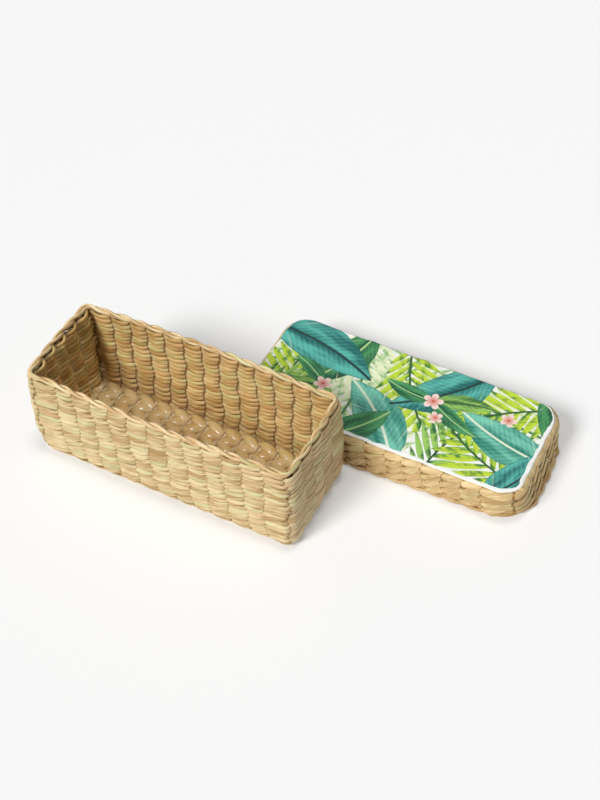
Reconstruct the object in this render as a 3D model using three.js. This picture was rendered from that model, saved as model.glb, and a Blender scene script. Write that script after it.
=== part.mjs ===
// Woven seagrass storage box with a lift-off lid, shown open: the lid lies flat behind the box.
//
// Both halves are the same kind of woven tray. Reed stakes run across the floor and turn up into both
// long walls, wider strips run lengthwise over and under them and turn up into the end walls, and
// strands go round the walls, outside one stake and inside the next. A thick strand follows the
// bottom turn, and a twisted pair finishes the rim. The lid is such a tray turned over, with a
// printed sheet glued to its flat side. Millimetres, +Z up, origin under the middle of the box.
import * as THREE from "three";

// Air left between pieces that lie against each other
const CLEARANCE = 0.3;

// Reeds
const STAKE_WIDTH = 10;
const STAKE_THICKNESS = 1.8;
const STRAND_THICKNESS = 2;
const STRIP_THICKNESS = 2.2;
const STRIP_SPACE = 0.6;
const TURN_RADIUS = 5.5;

// Box: outside size at the rim
const BOX_HEIGHT = 116;
const BOX_LENGTH = 306;
const BOX_WIDTH = 117;

// How much longer and wider the box is at its foot, low in the wall and halfway up
const FOOT_LENGTH_GAIN = -7;
const FOOT_WIDTH_GAIN = 2;
const LOW_SWELL_HEIGHT = 30;
const LOW_LENGTH_GAIN = -1;
const LOW_WIDTH_GAIN = 8;
const MID_SWELL_HEIGHT = 70;
const MID_LENGTH_GAIN = 2;
const MID_WIDTH_GAIN = 5;
const BOX_FOOT_CORNER = 13;
const BOX_RIM_CORNER = 9;
const BOX_BORDER_HEIGHT = 7.4;
const BOX_BORDER_THICKNESS = 7;

// The handmade walls lean: how far the rim's centre lies from the floor's
const BOX_LEAN_X = -10.6;
const BOX_LEAN_Y = 3.7;

// Lid
const LID_HEIGHT = 45;
const LID_EASE = 4.6;
const LID_CORNER = 28;
const LID_BORDER_HEIGHT = 6;
const LID_BORDER_THICKNESS = 6.4;
const SHEET_THICKNESS = 0.6;
const SHEET_INSET = 5;

// Where the lid was laid down, measured from the middle of the box
const LID_PLACE_X = 177;
const LID_BEHIND_BOX = 6.5;

// Counts
const STAKE_COUNT = 13;
const STRIP_COUNT = 5;
const BOX_COURSE_COUNT = 14;
const LID_COURSE_COUNT = 3;
const CORNER_STEPS = 3;
const SHEET_CORNER_STEPS = 8;

// A strip's flat stretch where it crosses a stake, as a share of the stake's width
const CROSSING_FLAT_SHARE = 0.4;

// How much of a reed's width is flat on top: wide on a floor strip, narrow on a stake
const STRIP_FLAT_SHARE = 0.7;
const STAKE_FLAT_SHARE = 0.1;

// Where the edge strand's foot and shoulder lie, as shares of the turn's radius
const EDGE_INNER_SHARE = 0.5;
const EDGE_FOOT_SHARE = 0.06;
const EDGE_SHOULDER_SHARE = 0.46;

// How much lighter or darker one reed is than the next
const SHADE_SHARES = [0, 0.02, -0.015, 0.01, -0.025];

// Sizes that follow from those above
const WALL_THICKNESS = STAKE_THICKNESS + 2 * (CLEARANCE + STRAND_THICKNESS);
const STRAND_SWING = (STAKE_THICKNESS + STRAND_THICKNESS) / 2 + CLEARANCE;
const STRIP_SWING = (STAKE_THICKNESS + STRIP_THICKNESS) / 2 + CLEARANCE;
const FLOOR_MIDDLE = STRIP_THICKNESS + CLEARANCE + STAKE_THICKNESS / 2;
const TURN_TOP = FLOOR_MIDDLE + TURN_RADIUS;

// The turn from floor to wall, as distance out from the wall's middle and height
const TURN_PATH = [
  { out: -TURN_RADIUS, z: FLOOR_MIDDLE },
  {
    out: -TURN_RADIUS * (1 - Math.SQRT1_2),
    z: FLOOR_MIDDLE + TURN_RADIUS * (1 - Math.SQRT1_2),
  },
  { out: 0, z: TURN_TOP },
];

// The four walls in the order that a strand passes them, seen from above
const WALLS = [
  { isLong: true, along: [1, 0], out: [0, -1] },
  { isLong: false, along: [0, 1], out: [1, 0] },
  { isLong: true, along: [-1, 0], out: [0, 1] },
  { isLong: false, along: [0, -1], out: [-1, 0] },
];

const UP = new THREE.Vector3(0, 0, 1);

/** A value part of the way from one to another. */
function between(from, to, share) {
  return from + (to - from) * share;
}

/** A wave of straight lines: 1 at an even turn, -1 at an odd one. */
function swing(turn) {
  const within = ((turn % 2) + 2) % 2;
  return 2 * Math.abs(within - 1) - 1;
}

/** The middle line of a wall of this outside size, at one height. */
function level(z, length, width, corner, shiftX, shiftY) {
  return {
    z,
    halfLength: (length - WALL_THICKNESS) / 2,
    halfWidth: (width - WALL_THICKNESS) / 2,
    corner: corner - WALL_THICKNESS / 2,
    shiftX,
    shiftY,
  };
}

/** The same middle line at any height, between the tray's stated levels. */
function levelAt(tray, z) {
  const last = tray.levels.length - 1;
  const found = tray.levels.findIndex((one) => one.z >= z);
  const upper = Math.max(1, found === -1 ? last : found);
  const low = tray.levels[upper - 1];
  const high = tray.levels[upper];
  const share = THREE.MathUtils.clamp((z - low.z) / (high.z - low.z), 0, 1);
  const keys = ["halfLength", "halfWidth", "corner", "shiftX", "shiftY"];
  const made = { z };
  keys.forEach((key) => {
    made[key] = between(low[key], high[key], share);
  });
  return made;
}

/** Even places for reeds on the part of a wall that is straight at every height. */
function spread(levels, sizeKey, count) {
  const straight = Math.min(...levels.map((one) => one[sizeKey] - one.corner));
  const spacing = (2 * straight - STAKE_WIDTH) / (count - 1);
  return Array.from({ length: count }, (_, i) => (i - (count - 1) / 2) * spacing);
}

/** A woven tray's heights and reed places, worked out from its outside sizes. */
function trayOf({ height, levels, courses, borderHeight, borderThickness, crossingFlat }) {
  const rowsTop = height - borderHeight;
  return {
    height,
    levels,
    borderHeight,
    borderThickness,
    crossingFlat,
    courses,
    rowPitch: (rowsTop - TURN_TOP) / courses,
    stakeTop: rowsTop - CLEARANCE,
    stakePlaces: spread(levels, "halfLength", STAKE_COUNT),
    stripPlaces: spread(levels, "halfWidth", STRIP_COUNT),
  };
}

/** A point on a wall's middle line, with the way out of the tray there. */
function wallPoint(middle, wall, along, depth) {
  return {
    point: new THREE.Vector3(
      middle.shiftX + wall.along[0] * along + wall.out[0] * depth,
      middle.shiftY + wall.along[1] * along + wall.out[1] * depth,
      middle.z,
    ),
    out: new THREE.Vector3(wall.out[0], wall.out[1], 0),
  };
}

/** Points round a corner, from the end of one wall to the start of the next. */
function cornerPoints(middle, wall, steps) {
  const reach = (wall.isLong ? middle.halfLength : middle.halfWidth) - middle.corner;
  const depth = (wall.isLong ? middle.halfWidth : middle.halfLength) - middle.corner;
  const centre = wallPoint(middle, wall, reach, depth).point;
  return Array.from({ length: steps }, (_, i) => {
    const angle = ((i / (steps - 1)) * Math.PI) / 2;
    const out = new THREE.Vector3(
      wall.out[0] * Math.cos(angle) + wall.along[0] * Math.sin(angle),
      wall.out[1] * Math.cos(angle) + wall.along[1] * Math.sin(angle),
      0,
    );
    return { point: centre.clone().addScaledVector(out, middle.corner), out };
  });
}

/** A strand's stops on its way round: one at each stake, with its count, and some at each corner. */
function roundTheWalls(tray, z, withGaps) {
  const middle = levelAt(tray, z);
  const stops = [];
  let turn = 0;
  WALLS.forEach((wall) => {
    const places = wall.isLong ? tray.stakePlaces : tray.stripPlaces;
    const nextPlaces = wall.isLong ? tray.stripPlaces : tray.stakePlaces;
    const reach = wall.isLong ? middle.halfLength : middle.halfWidth;
    const nextReach = wall.isLong ? middle.halfWidth : middle.halfLength;
    places.forEach((along, i) => {
      stops.push({ ...wallPoint(middle, wall, along, nextReach), turn });
      if (withGaps && i + 1 < places.length) {
        const halfWay = (along + places[i + 1]) / 2;
        stops.push({ ...wallPoint(middle, wall, halfWay, nextReach), turn: turn + 1 / 2 });
      }
      turn += 1;
    });
    const halfArc = (middle.corner * Math.PI) / 4;
    const lead = reach - middle.corner - places[places.length - 1];
    const follow = nextReach - middle.corner - nextPlaces[nextPlaces.length - 1];
    cornerPoints(middle, wall, CORNER_STEPS).forEach((stop, i) => {
      const past = (2 * halfArc * i) / (CORNER_STEPS - 1);
      const left = 2 * halfArc - past;
      const before = turn - 1 + (lead + past) / (lead + halfArc) / 2;
      const after = turn - (follow + left) / (follow + halfArc) / 2;
      stops.push({ ...stop, turn: past < halfArc ? before : after });
    });
  });
  return stops;
}

/** Skins a row of equal section loops into one closed surface. */
function skin(sections, isRing) {
  const sides = sections[0].length;
  const positions = sections.flat().flatMap((p) => [p.x, p.y, p.z]);
  const faces = [];
  const spans = isRing ? sections.length : sections.length - 1;
  for (let i = 0; i < spans; i += 1) {
    const near = i * sides;
    const far = ((i + 1) % sections.length) * sides;
    for (let j = 0; j < sides; j += 1) {
      const k = (j + 1) % sides;
      faces.push(near + j, far + k, near + k, near + j, far + j, far + k);
    }
  }
  if (!isRing) {
    const end = (sections.length - 1) * sides;
    for (let j = 1; j + 1 < sides; j += 1) {
      faces.push(0, j, j + 1, end, end + j + 1, end + j);
    }
  }
  const geometry = new THREE.BufferGeometry();
  geometry.setAttribute("position", new THREE.Float32BufferAttribute(positions, 3));
  geometry.setIndex(faces);
  geometry.computeVertexNormals();
  return geometry;
}

/** A strand's lens-shaped section, standing in a wall. */
function strandSection(centre, out, halfThickness, halfHeight) {
  return [
    centre.clone().addScaledVector(out, halfThickness),
    centre.clone().addScaledVector(UP, halfHeight),
    centre.clone().addScaledVector(out, -halfThickness),
    centre.clone().addScaledVector(UP, -halfHeight),
  ];
}

/** A reed's section: a flat hexagon, or a lens where no flat is asked for. */
function reedSection(centre, across, out, halfWidth, halfThickness, flatShare) {
  const corners = flatShare
    ? [
        [halfWidth, 0],
        [halfWidth * flatShare, halfThickness],
        [-halfWidth * flatShare, halfThickness],
        [-halfWidth, 0],
        [-halfWidth * flatShare, -halfThickness],
        [halfWidth * flatShare, -halfThickness],
      ]
    : [
        [halfWidth, 0],
        [0, halfThickness],
        [-halfWidth, 0],
        [0, -halfThickness],
      ];
  return corners.map(([a, o]) =>
    centre.clone().addScaledVector(across, a).addScaledVector(out, o),
  );
}

/** One course: a strand that goes outside one stake and inside the next. */
function courseGeometry(tray, row) {
  const z = TURN_TOP + (row + 1 / 2) * tray.rowPitch;
  const halfHeight = (tray.rowPitch - CLEARANCE) / 2;
  const sections = roundTheWalls(tray, z, false).map(({ point, out, turn }) => {
    const centre = point.addScaledVector(out, STRAND_SWING * swing(turn + row));
    return strandSection(centre, out, STRAND_THICKNESS / 2, halfHeight);
  });
  return skin(sections, true);
}

/** One strand of the twisted pair that finishes the rim; the other is half a twist on. */
function borderGeometry(tray, which) {
  const z = tray.height - tray.borderHeight / 2;
  const air = CLEARANCE / 2;
  const swingOut = (tray.borderThickness / 2 + air) / 2;
  const swingUp = (tray.borderHeight / 2 + air) / 2;
  const sections = roundTheWalls(tray, z, true).map(({ point, out, turn }) => {
    const twist = turn + which;
    const centre = point
      .addScaledVector(out, swingOut * swing(twist))
      .addScaledVector(UP, swingUp * swing(twist - 1 / 2));
    return strandSection(centre, out, swingOut - air, swingUp - air);
  });
  return skin(sections, true);
}

/** The thick strand outside the bottom turn, shaped to the reeds that it holds in. */
function edgeGeometry(tray) {
  const stand = Math.max(STAKE_THICKNESS, STRIP_THICKNESS) / 2 + CLEARANCE;
  const [flat, bend, top] = TURN_PATH;
  const mitre = (stand / Math.cos(Math.PI / 8)) * Math.SQRT1_2;
  const bendUnder = { out: bend.out + mitre, z: bend.z - mitre };
  const innerOut = -TURN_RADIUS * EDGE_INNER_SHARE;
  const rise = (innerOut - flat.out) / (bendUnder.out - flat.out);
  const profile = [
    [innerOut, 0],
    [TURN_RADIUS * EDGE_FOOT_SHARE, 0],
    [WALL_THICKNESS / 2, TURN_RADIUS * EDGE_SHOULDER_SHARE],
    [WALL_THICKNESS / 2, TURN_TOP],
    [top.out + stand, TURN_TOP],
    [bendUnder.out, bendUnder.z],
    [innerOut, between(flat.z - stand, bendUnder.z, rise)],
  ];
  const middle = levelAt(tray, TURN_TOP);
  const stops = WALLS.flatMap((wall) => cornerPoints(middle, wall, CORNER_STEPS + 1));
  const sections = stops.map(({ point, out }) =>
    profile.map(([away, z]) => point.clone().addScaledVector(out, away).setZ(z)),
  );
  return skin(sections, true);
}

/**
 * Stops from a reed's end at the rim down its wall and round the turn to the floor.
 * wallShare is 1 on the wall, falls through the turn and is 0 on the floor.
 */
function downTheWall(tray, wall, along) {
  const foot = levelAt(tray, TURN_TOP);
  const depthOf = (middle) => (wall.isLong ? middle.halfWidth : middle.halfLength);
  const heights = tray.levels.map((one) => one.z).filter((z) => z < tray.stakeTop);
  const inWall = [...heights, tray.stakeTop].reverse();
  const stops = inWall.map((z) => {
    const middle = levelAt(tray, z);
    return { ...wallPoint(middle, wall, along, depthOf(middle)), wallShare: 1 };
  });
  const [flat, bend] = TURN_PATH;
  const bendPoint = wallPoint(foot, wall, along, depthOf(foot) + bend.out).point;
  const flatPoint = wallPoint(foot, wall, along, depthOf(foot) + flat.out).point;
  const slant = new THREE.Vector3(wall.out[0], wall.out[1], -1).normalize();
  return [
    ...stops,
    { point: bendPoint.setZ(bend.z), out: slant, wallShare: 1 / 2 },
    { point: flatPoint.setZ(flat.z), out: UP.clone().negate(), wallShare: 0 },
  ];
}

/** A stake: down the front wall, across the floor and up the back wall. */
function stakeGeometry(tray, place) {
  const [front, , back] = WALLS;
  const across = new THREE.Vector3(-1, 0, 0);
  const stops = [
    ...downTheWall(tray, front, place),
    ...downTheWall(tray, back, -place).reverse(),
  ];
  const sections = stops.map(({ point, out }) =>
    reedSection(point, across, out, STAKE_WIDTH / 2, STAKE_THICKNESS / 2, 0),
  );
  return skin(sections, false);
}

/** A strip: down one end wall, over and under the stakes, and up the other end wall. */
function stripGeometry(tray, place, row) {
  const [, right, , left] = WALLS;
  const spacing = tray.stripPlaces[1] - tray.stripPlaces[0];
  const floorWidth = spacing - STRIP_SPACE;
  const across = new THREE.Vector3(0, 1, 0);
  const middleRow = (STRIP_COUNT - 1) / 2;
  const middleStake = (STAKE_COUNT - 1) / 2;
  const floorStops = tray.stakePlaces.flatMap((x, i) => {
    const isUnder = (i - middleStake + row - middleRow) % 2 === 0;
    const z = FLOOR_MIDDLE + (isUnder ? -STRIP_SWING : STRIP_SWING);
    const half = tray.crossingFlat / 2;
    const ends = half > 0 ? [x - half, x + half] : [x];
    return ends.map((end) => ({
      point: new THREE.Vector3(end, place, z),
      out: UP.clone().negate(),
      wallShare: 0,
    }));
  });
  const stops = [
    ...downTheWall(tray, left, -place),
    ...floorStops,
    ...downTheWall(tray, right, place).reverse(),
  ];
  const sections = stops.map(({ point, out, wallShare }) =>
    reedSection(
      point,
      across,
      out,
      between(floorWidth, STAKE_WIDTH, wallShare) / 2,
      between(STRIP_THICKNESS, STAKE_THICKNESS, wallShare) / 2,
      between(STRIP_FLAT_SHARE, STAKE_FLAT_SHARE, wallShare),
    ),
  );
  return skin(sections, false);
}

/** The printed sheet: a thin rectangle with round corners. */
function sheetGeometry(length, width, corner) {
  const x = length / 2;
  const y = width / 2;
  const outline = new THREE.Shape();
  outline.moveTo(-x + corner, -y);
  outline.lineTo(x - corner, -y);
  outline.absarc(x - corner, -y + corner, corner, -Math.PI / 2, 0);
  outline.lineTo(x, y - corner);
  outline.absarc(x - corner, y - corner, corner, 0, Math.PI / 2);
  outline.lineTo(-x + corner, y);
  outline.absarc(-x + corner, y - corner, corner, Math.PI / 2, Math.PI);
  outline.lineTo(-x, -y + corner);
  outline.absarc(-x + corner, -y + corner, corner, Math.PI, Math.PI * (3 / 2));
  return new THREE.ExtrudeGeometry(outline, {
    depth: SHEET_THICKNESS,
    bevelEnabled: false,
    curveSegments: SHEET_CORNER_STEPS,
  });
}

/** Dry reed, a little different in shade from piece to piece. */
function reedMaterial(tone, piece) {
  const shade = SHADE_SHARES[piece % SHADE_SHARES.length];
  const color = new THREE.Color(tone).offsetHSL(0, 0, shade);
  return new THREE.MeshStandardMaterial({ color, roughness: 0.6, metalness: 0 });
}

/** Puts a named piece in a group. */
function addPiece(group, name, geometry, material) {
  const mesh = new THREE.Mesh(geometry, material);
  mesh.name = name;
  group.add(mesh);
  return mesh;
}

/** Two digits, so that names sort in order. */
function numbered(name, index) {
  return name + "_" + String(index + 1).padStart(2, "0");
}

/** All pieces of one woven tray. */
function wovenTray(name, tray, tones) {
  const group = new THREE.Group();
  tray.stakePlaces.forEach((place, i) => {
    const geometry = stakeGeometry(tray, place);
    addPiece(group, numbered(name + "_stake", i), geometry, reedMaterial(tones.stake, i));
  });
  tray.stripPlaces.forEach((place, i) => {
    const geometry = stripGeometry(tray, place, i);
    addPiece(group, numbered(name + "_floor_strip", i), geometry, reedMaterial(tones.strip, i));
  });
  addPiece(group, name + "_edge_strand", edgeGeometry(tray), reedMaterial(tones.course, 0));
  for (let row = 0; row < tray.courses; row += 1) {
    const geometry = courseGeometry(tray, row);
    addPiece(group, numbered(name + "_course", row), geometry, reedMaterial(tones.course, row));
  }
  ["outer", "inner"].forEach((which, i) => {
    const geometry = borderGeometry(tray, i);
    addPiece(group, name + "_border_" + which, geometry, reedMaterial(tones.border, i));
  });
  return group;
}

const box = trayOf({
  height: BOX_HEIGHT,
  levels: [
    [TURN_TOP, FOOT_LENGTH_GAIN, FOOT_WIDTH_GAIN],
    [LOW_SWELL_HEIGHT, LOW_LENGTH_GAIN, LOW_WIDTH_GAIN],
    [MID_SWELL_HEIGHT, MID_LENGTH_GAIN, MID_WIDTH_GAIN],
    [BOX_HEIGHT, 0, 0],
  ].map(([z, lengthGain, widthGain]) => {
    const share = (z - TURN_TOP) / (BOX_HEIGHT - TURN_TOP);
    const corner = between(BOX_FOOT_CORNER, BOX_RIM_CORNER, share);
    const length = BOX_LENGTH + lengthGain;
    const width = BOX_WIDTH + widthGain;
    return level(z, length, width, corner, BOX_LEAN_X * share, BOX_LEAN_Y * share);
  }),
  courses: BOX_COURSE_COUNT,
  borderHeight: BOX_BORDER_HEIGHT,
  borderThickness: BOX_BORDER_THICKNESS,
  crossingFlat: STAKE_WIDTH * CROSSING_FLAT_SHARE,
});

// The lid goes over the box at its widest, with room all round
const WIDEST_LENGTH = BOX_LENGTH + Math.max(LOW_LENGTH_GAIN, MID_LENGTH_GAIN, 0);
const WIDEST_WIDTH = BOX_WIDTH + Math.max(LOW_WIDTH_GAIN, MID_WIDTH_GAIN, 0);
const LID_LENGTH = WIDEST_LENGTH + 2 * (LID_EASE + WALL_THICKNESS);
const LID_WIDTH = WIDEST_WIDTH + 2 * (LID_EASE + WALL_THICKNESS);
const LID_TRAY_HEIGHT = LID_HEIGHT - SHEET_THICKNESS - CLEARANCE;

const lid = trayOf({
  height: LID_TRAY_HEIGHT,
  levels: [TURN_TOP, LID_TRAY_HEIGHT].map((z) =>
    level(z, LID_LENGTH, LID_WIDTH, LID_CORNER, 0, 0),
  ),
  courses: LID_COURSE_COUNT,
  borderHeight: LID_BORDER_HEIGHT,
  borderThickness: LID_BORDER_THICKNESS,
  crossingFlat: 0,
});

const storageBox = new THREE.Group();
storageBox.name = "seagrass_storage_box";

storageBox.add(
  wovenTray("box", box, {
    stake: 0xb79a63,
    strip: 0xc4a15f,
    course: 0xdcc797,
    border: 0xe2c794,
  }),
);

// The lid lies with its hollow side down
const lidGroup = wovenTray("lid", lid, {
  stake: 0xb08d55,
  strip: 0xb9965a,
  course: 0xcaa467,
  border: 0xcdaa6e,
});
const sheet = addPiece(
  lidGroup,
  "lid_printed_sheet",
  sheetGeometry(
    LID_LENGTH - 2 * SHEET_INSET,
    LID_WIDTH - 2 * SHEET_INSET,
    LID_CORNER - SHEET_INSET,
  ),
  new THREE.MeshStandardMaterial({ color: 0x6fae8a, roughness: 0.45, metalness: 0 }),
);
sheet.position.z = -CLEARANCE - SHEET_THICKNESS;
lidGroup.rotation.x = Math.PI;
lidGroup.position.set(
  LID_PLACE_X,
  WIDEST_WIDTH / 2 + LID_BEHIND_BOX + LID_WIDTH / 2,
  LID_TRAY_HEIGHT,
);
storageBox.add(lidGroup);

export default storageBox;
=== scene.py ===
"""Woven seagrass storage box with a lift-off lid, dressed for the camera.

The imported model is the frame: each row, stake, border and sheet here takes its place and size from the
solid that it stands for. Reeds are swept along their paths round and over each other, two twisted strands
to a row. Metres, +Z up, origin under the middle of the box.
"""

import logging
import math
import random
from dataclasses import dataclass, replace
from enum import Enum
from typing import Callable, ClassVar, NamedTuple, Sequence, Union

import bmesh
import bpy
from mathutils import Matrix, Vector


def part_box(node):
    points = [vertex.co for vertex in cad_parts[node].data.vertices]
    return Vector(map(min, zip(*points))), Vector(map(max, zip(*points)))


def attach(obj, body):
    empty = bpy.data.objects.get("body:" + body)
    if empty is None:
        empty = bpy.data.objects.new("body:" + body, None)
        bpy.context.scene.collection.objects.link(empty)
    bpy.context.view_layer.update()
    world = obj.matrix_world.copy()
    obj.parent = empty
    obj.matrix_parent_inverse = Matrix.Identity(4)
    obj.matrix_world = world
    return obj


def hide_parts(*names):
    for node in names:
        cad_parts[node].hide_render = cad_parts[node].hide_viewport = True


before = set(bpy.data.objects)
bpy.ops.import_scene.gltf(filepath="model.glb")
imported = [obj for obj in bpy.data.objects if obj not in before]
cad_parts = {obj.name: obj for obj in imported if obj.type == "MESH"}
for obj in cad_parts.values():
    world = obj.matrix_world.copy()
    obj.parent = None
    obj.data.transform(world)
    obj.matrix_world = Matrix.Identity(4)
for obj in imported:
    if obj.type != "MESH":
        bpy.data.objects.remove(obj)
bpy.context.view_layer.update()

LOG = logging.getLogger("storage_box")
Colour = tuple[float, float, float, float]
Bearing = tuple[Vector, Vector, Vector]
Input = Union["Value", bpy.types.NodeSocket, float, Sequence[float]]

ALONG, ACROSS, UP = Vector((1.0, 0.0, 0.0)), Vector((0.0, 1.0, 0.0)), Vector((0.0, 0.0, 1.0))

# Ways along the four walls in turn, counter-clockwise. Each wall faces the way that the one before it runs.
WALL_WAYS = (ALONG, ACROSS, -ALONG, -ACROSS)

# Sines that a row strays by: how often in a round, how fast they shift with its height, and their size.
STRAY_WAVES = ((7, 70, 1.0), (12, -45, 0.7), (3, 1300, 1.0))
WAVER_WAVES = ((5, 40, 1.0), (13, -60, 0.8))

# Metres of fibre pattern that the strands start from at random.
PATTERN_REACH = 40.0
# Points nearer than this are one point.
WELD_DISTANCE = 1e-7


class Slant(Enum):
    """The hand of a twisted pair, by the way that its strands lean."""

    RISING = 1
    FALLING = -1


class Motif(Enum):
    """The kinds of plant that are printed on the lid."""

    BROAD = "broad_leaf"
    FROND = "frond"
    BLOSSOM = "blossom"


class LampKind(Enum):
    """The kinds of lamp in the studio."""

    EVEN = "SUN"
    SOFTBOX = "AREA"


class Draws(Enum):
    """Where the chance draws of each kind of piece start."""

    ROWS = 0
    BORDER = 100
    EDGE = 200
    STAKES = 300
    FLOOR = 400


def ink(code: str) -> Colour:
    """Turns a six-digit display colour into the linear one that shaders use.

    Args:
        code: Red, green and blue as two hexadecimal digits each.

    Returns:
        The linear colour with a full alpha.
    """
    shares = [int(code[i : i + 2], 16) / 255 for i in (0, 2, 4)]
    linear = [s / 12.92 if s <= 0.04045 else ((s + 0.055) / 1.055) ** 2.4 for s in shares]
    return (linear[0], linear[1], linear[2], 1.0)


def between(start: float, end: float, share: float) -> float:
    """Gives the value part of the way from start to end."""
    return start + (end - start) * share


def smooth_share(share: float) -> float:
    """Eases a share from 0 to 1, level at both ends."""
    return share * share * (3 - 2 * share)


def waves(sines: Sequence[tuple[int, int, float]], turn: float, level: float) -> float:
    """Adds up the sines that a row strays by, at a turn round the tray and a height."""
    return sum(size * math.sin(count * turn + climb * level) for count, climb, size in sines)


def link(name: str, data: bpy.types.ID) -> bpy.types.Object:
    """Makes an object and links it to the scene.

    Args:
        name: Its name.
        data: Its mesh, lamp or camera.

    Returns:
        The object.
    """
    thing = bpy.data.objects.new(name, data)
    bpy.context.scene.collection.objects.link(thing)
    return thing


def mesh_of(bm: bmesh.types.BMesh, name: str) -> bpy.types.Mesh:
    """Turns a bmesh into a mesh and frees it.

    Args:
        bm: The bmesh.
        name: The mesh's name.

    Returns:
        The mesh.
    """
    mesh = bpy.data.meshes.new(name)
    bm.to_mesh(mesh)
    bm.free()
    return mesh


def smooth_mesh_of(bm: bmesh.types.BMesh, name: str) -> bpy.types.Mesh:
    """Turns a bmesh into a smooth mesh whose faces point outwards, and frees it.

    Args:
        bm: The bmesh.
        name: The mesh's name.

    Returns:
        The mesh.
    """
    bmesh.ops.recalc_face_normals(bm, faces=bm.faces[:])
    for face in bm.faces:
        face.smooth = True
    return mesh_of(bm, name)


def place_piece(
    mesh: bpy.types.Mesh, body: str, nodes: Sequence[str], finish: bpy.types.Material
) -> bpy.types.Object:
    """Links a mesh as a piece of the object, under the mesh's own name.

    Args:
        mesh: The mesh, in place.
        body: The body that it rides on.
        nodes: The solids that it stands for.
        finish: Its material.

    Returns:
        The piece.
    """
    piece = link(mesh.name, mesh)
    mesh.materials.append(finish)
    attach(piece, body)
    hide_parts(*nodes)
    LOG.info("%s: %d faces, stands for %s", piece.name, len(mesh.polygons), ", ".join(nodes))
    return piece


class Value:
    """What a shader socket gives, so that sums of sockets are written as sums of numbers."""

    def __init__(self, nodes: "Nodes", socket: bpy.types.NodeSocket) -> None:
        """Keeps the socket and the nodes that it belongs to."""
        self.nodes = nodes
        self.socket = socket

    def __add__(self, other: Input) -> "Value":
        """Adds another value."""
        return self.nodes.math("ADD", self, other)

    def __sub__(self, other: Input) -> "Value":
        """Takes another value away."""
        return self.nodes.math("SUBTRACT", self, other)

    def __rsub__(self, other: Input) -> "Value":
        """Takes this value away from a number."""
        return self.nodes.math("SUBTRACT", other, self)

    def __mul__(self, other: Input) -> "Value":
        """Multiplies by another value."""
        return self.nodes.math("MULTIPLY", self, other)

    def __truediv__(self, other: Input) -> "Value":
        """Divides by another value."""
        return self.nodes.math("DIVIDE", self, other)

    def __pow__(self, power: Input) -> "Value":
        """Raises to a power."""
        return self.nodes.math("POWER", self, power)

    def __abs__(self) -> "Value":
        """Drops the sign."""
        return self.nodes.math("ABSOLUTE", self)

    def over(self, limit: float) -> "Value":
        """Gives 1 where the value is over a limit, else 0."""
        return self.nodes.math("GREATER_THAN", self, limit)

    def under(self, limit: float) -> "Value":
        """Gives 1 where the value is under a limit, else 0."""
        return self.nodes.math("LESS_THAN", self, limit)

    def least(self, limit: float) -> "Value":
        """Keeps the value from falling under a limit."""
        return self.nodes.math("MAXIMUM", self, limit)


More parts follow.
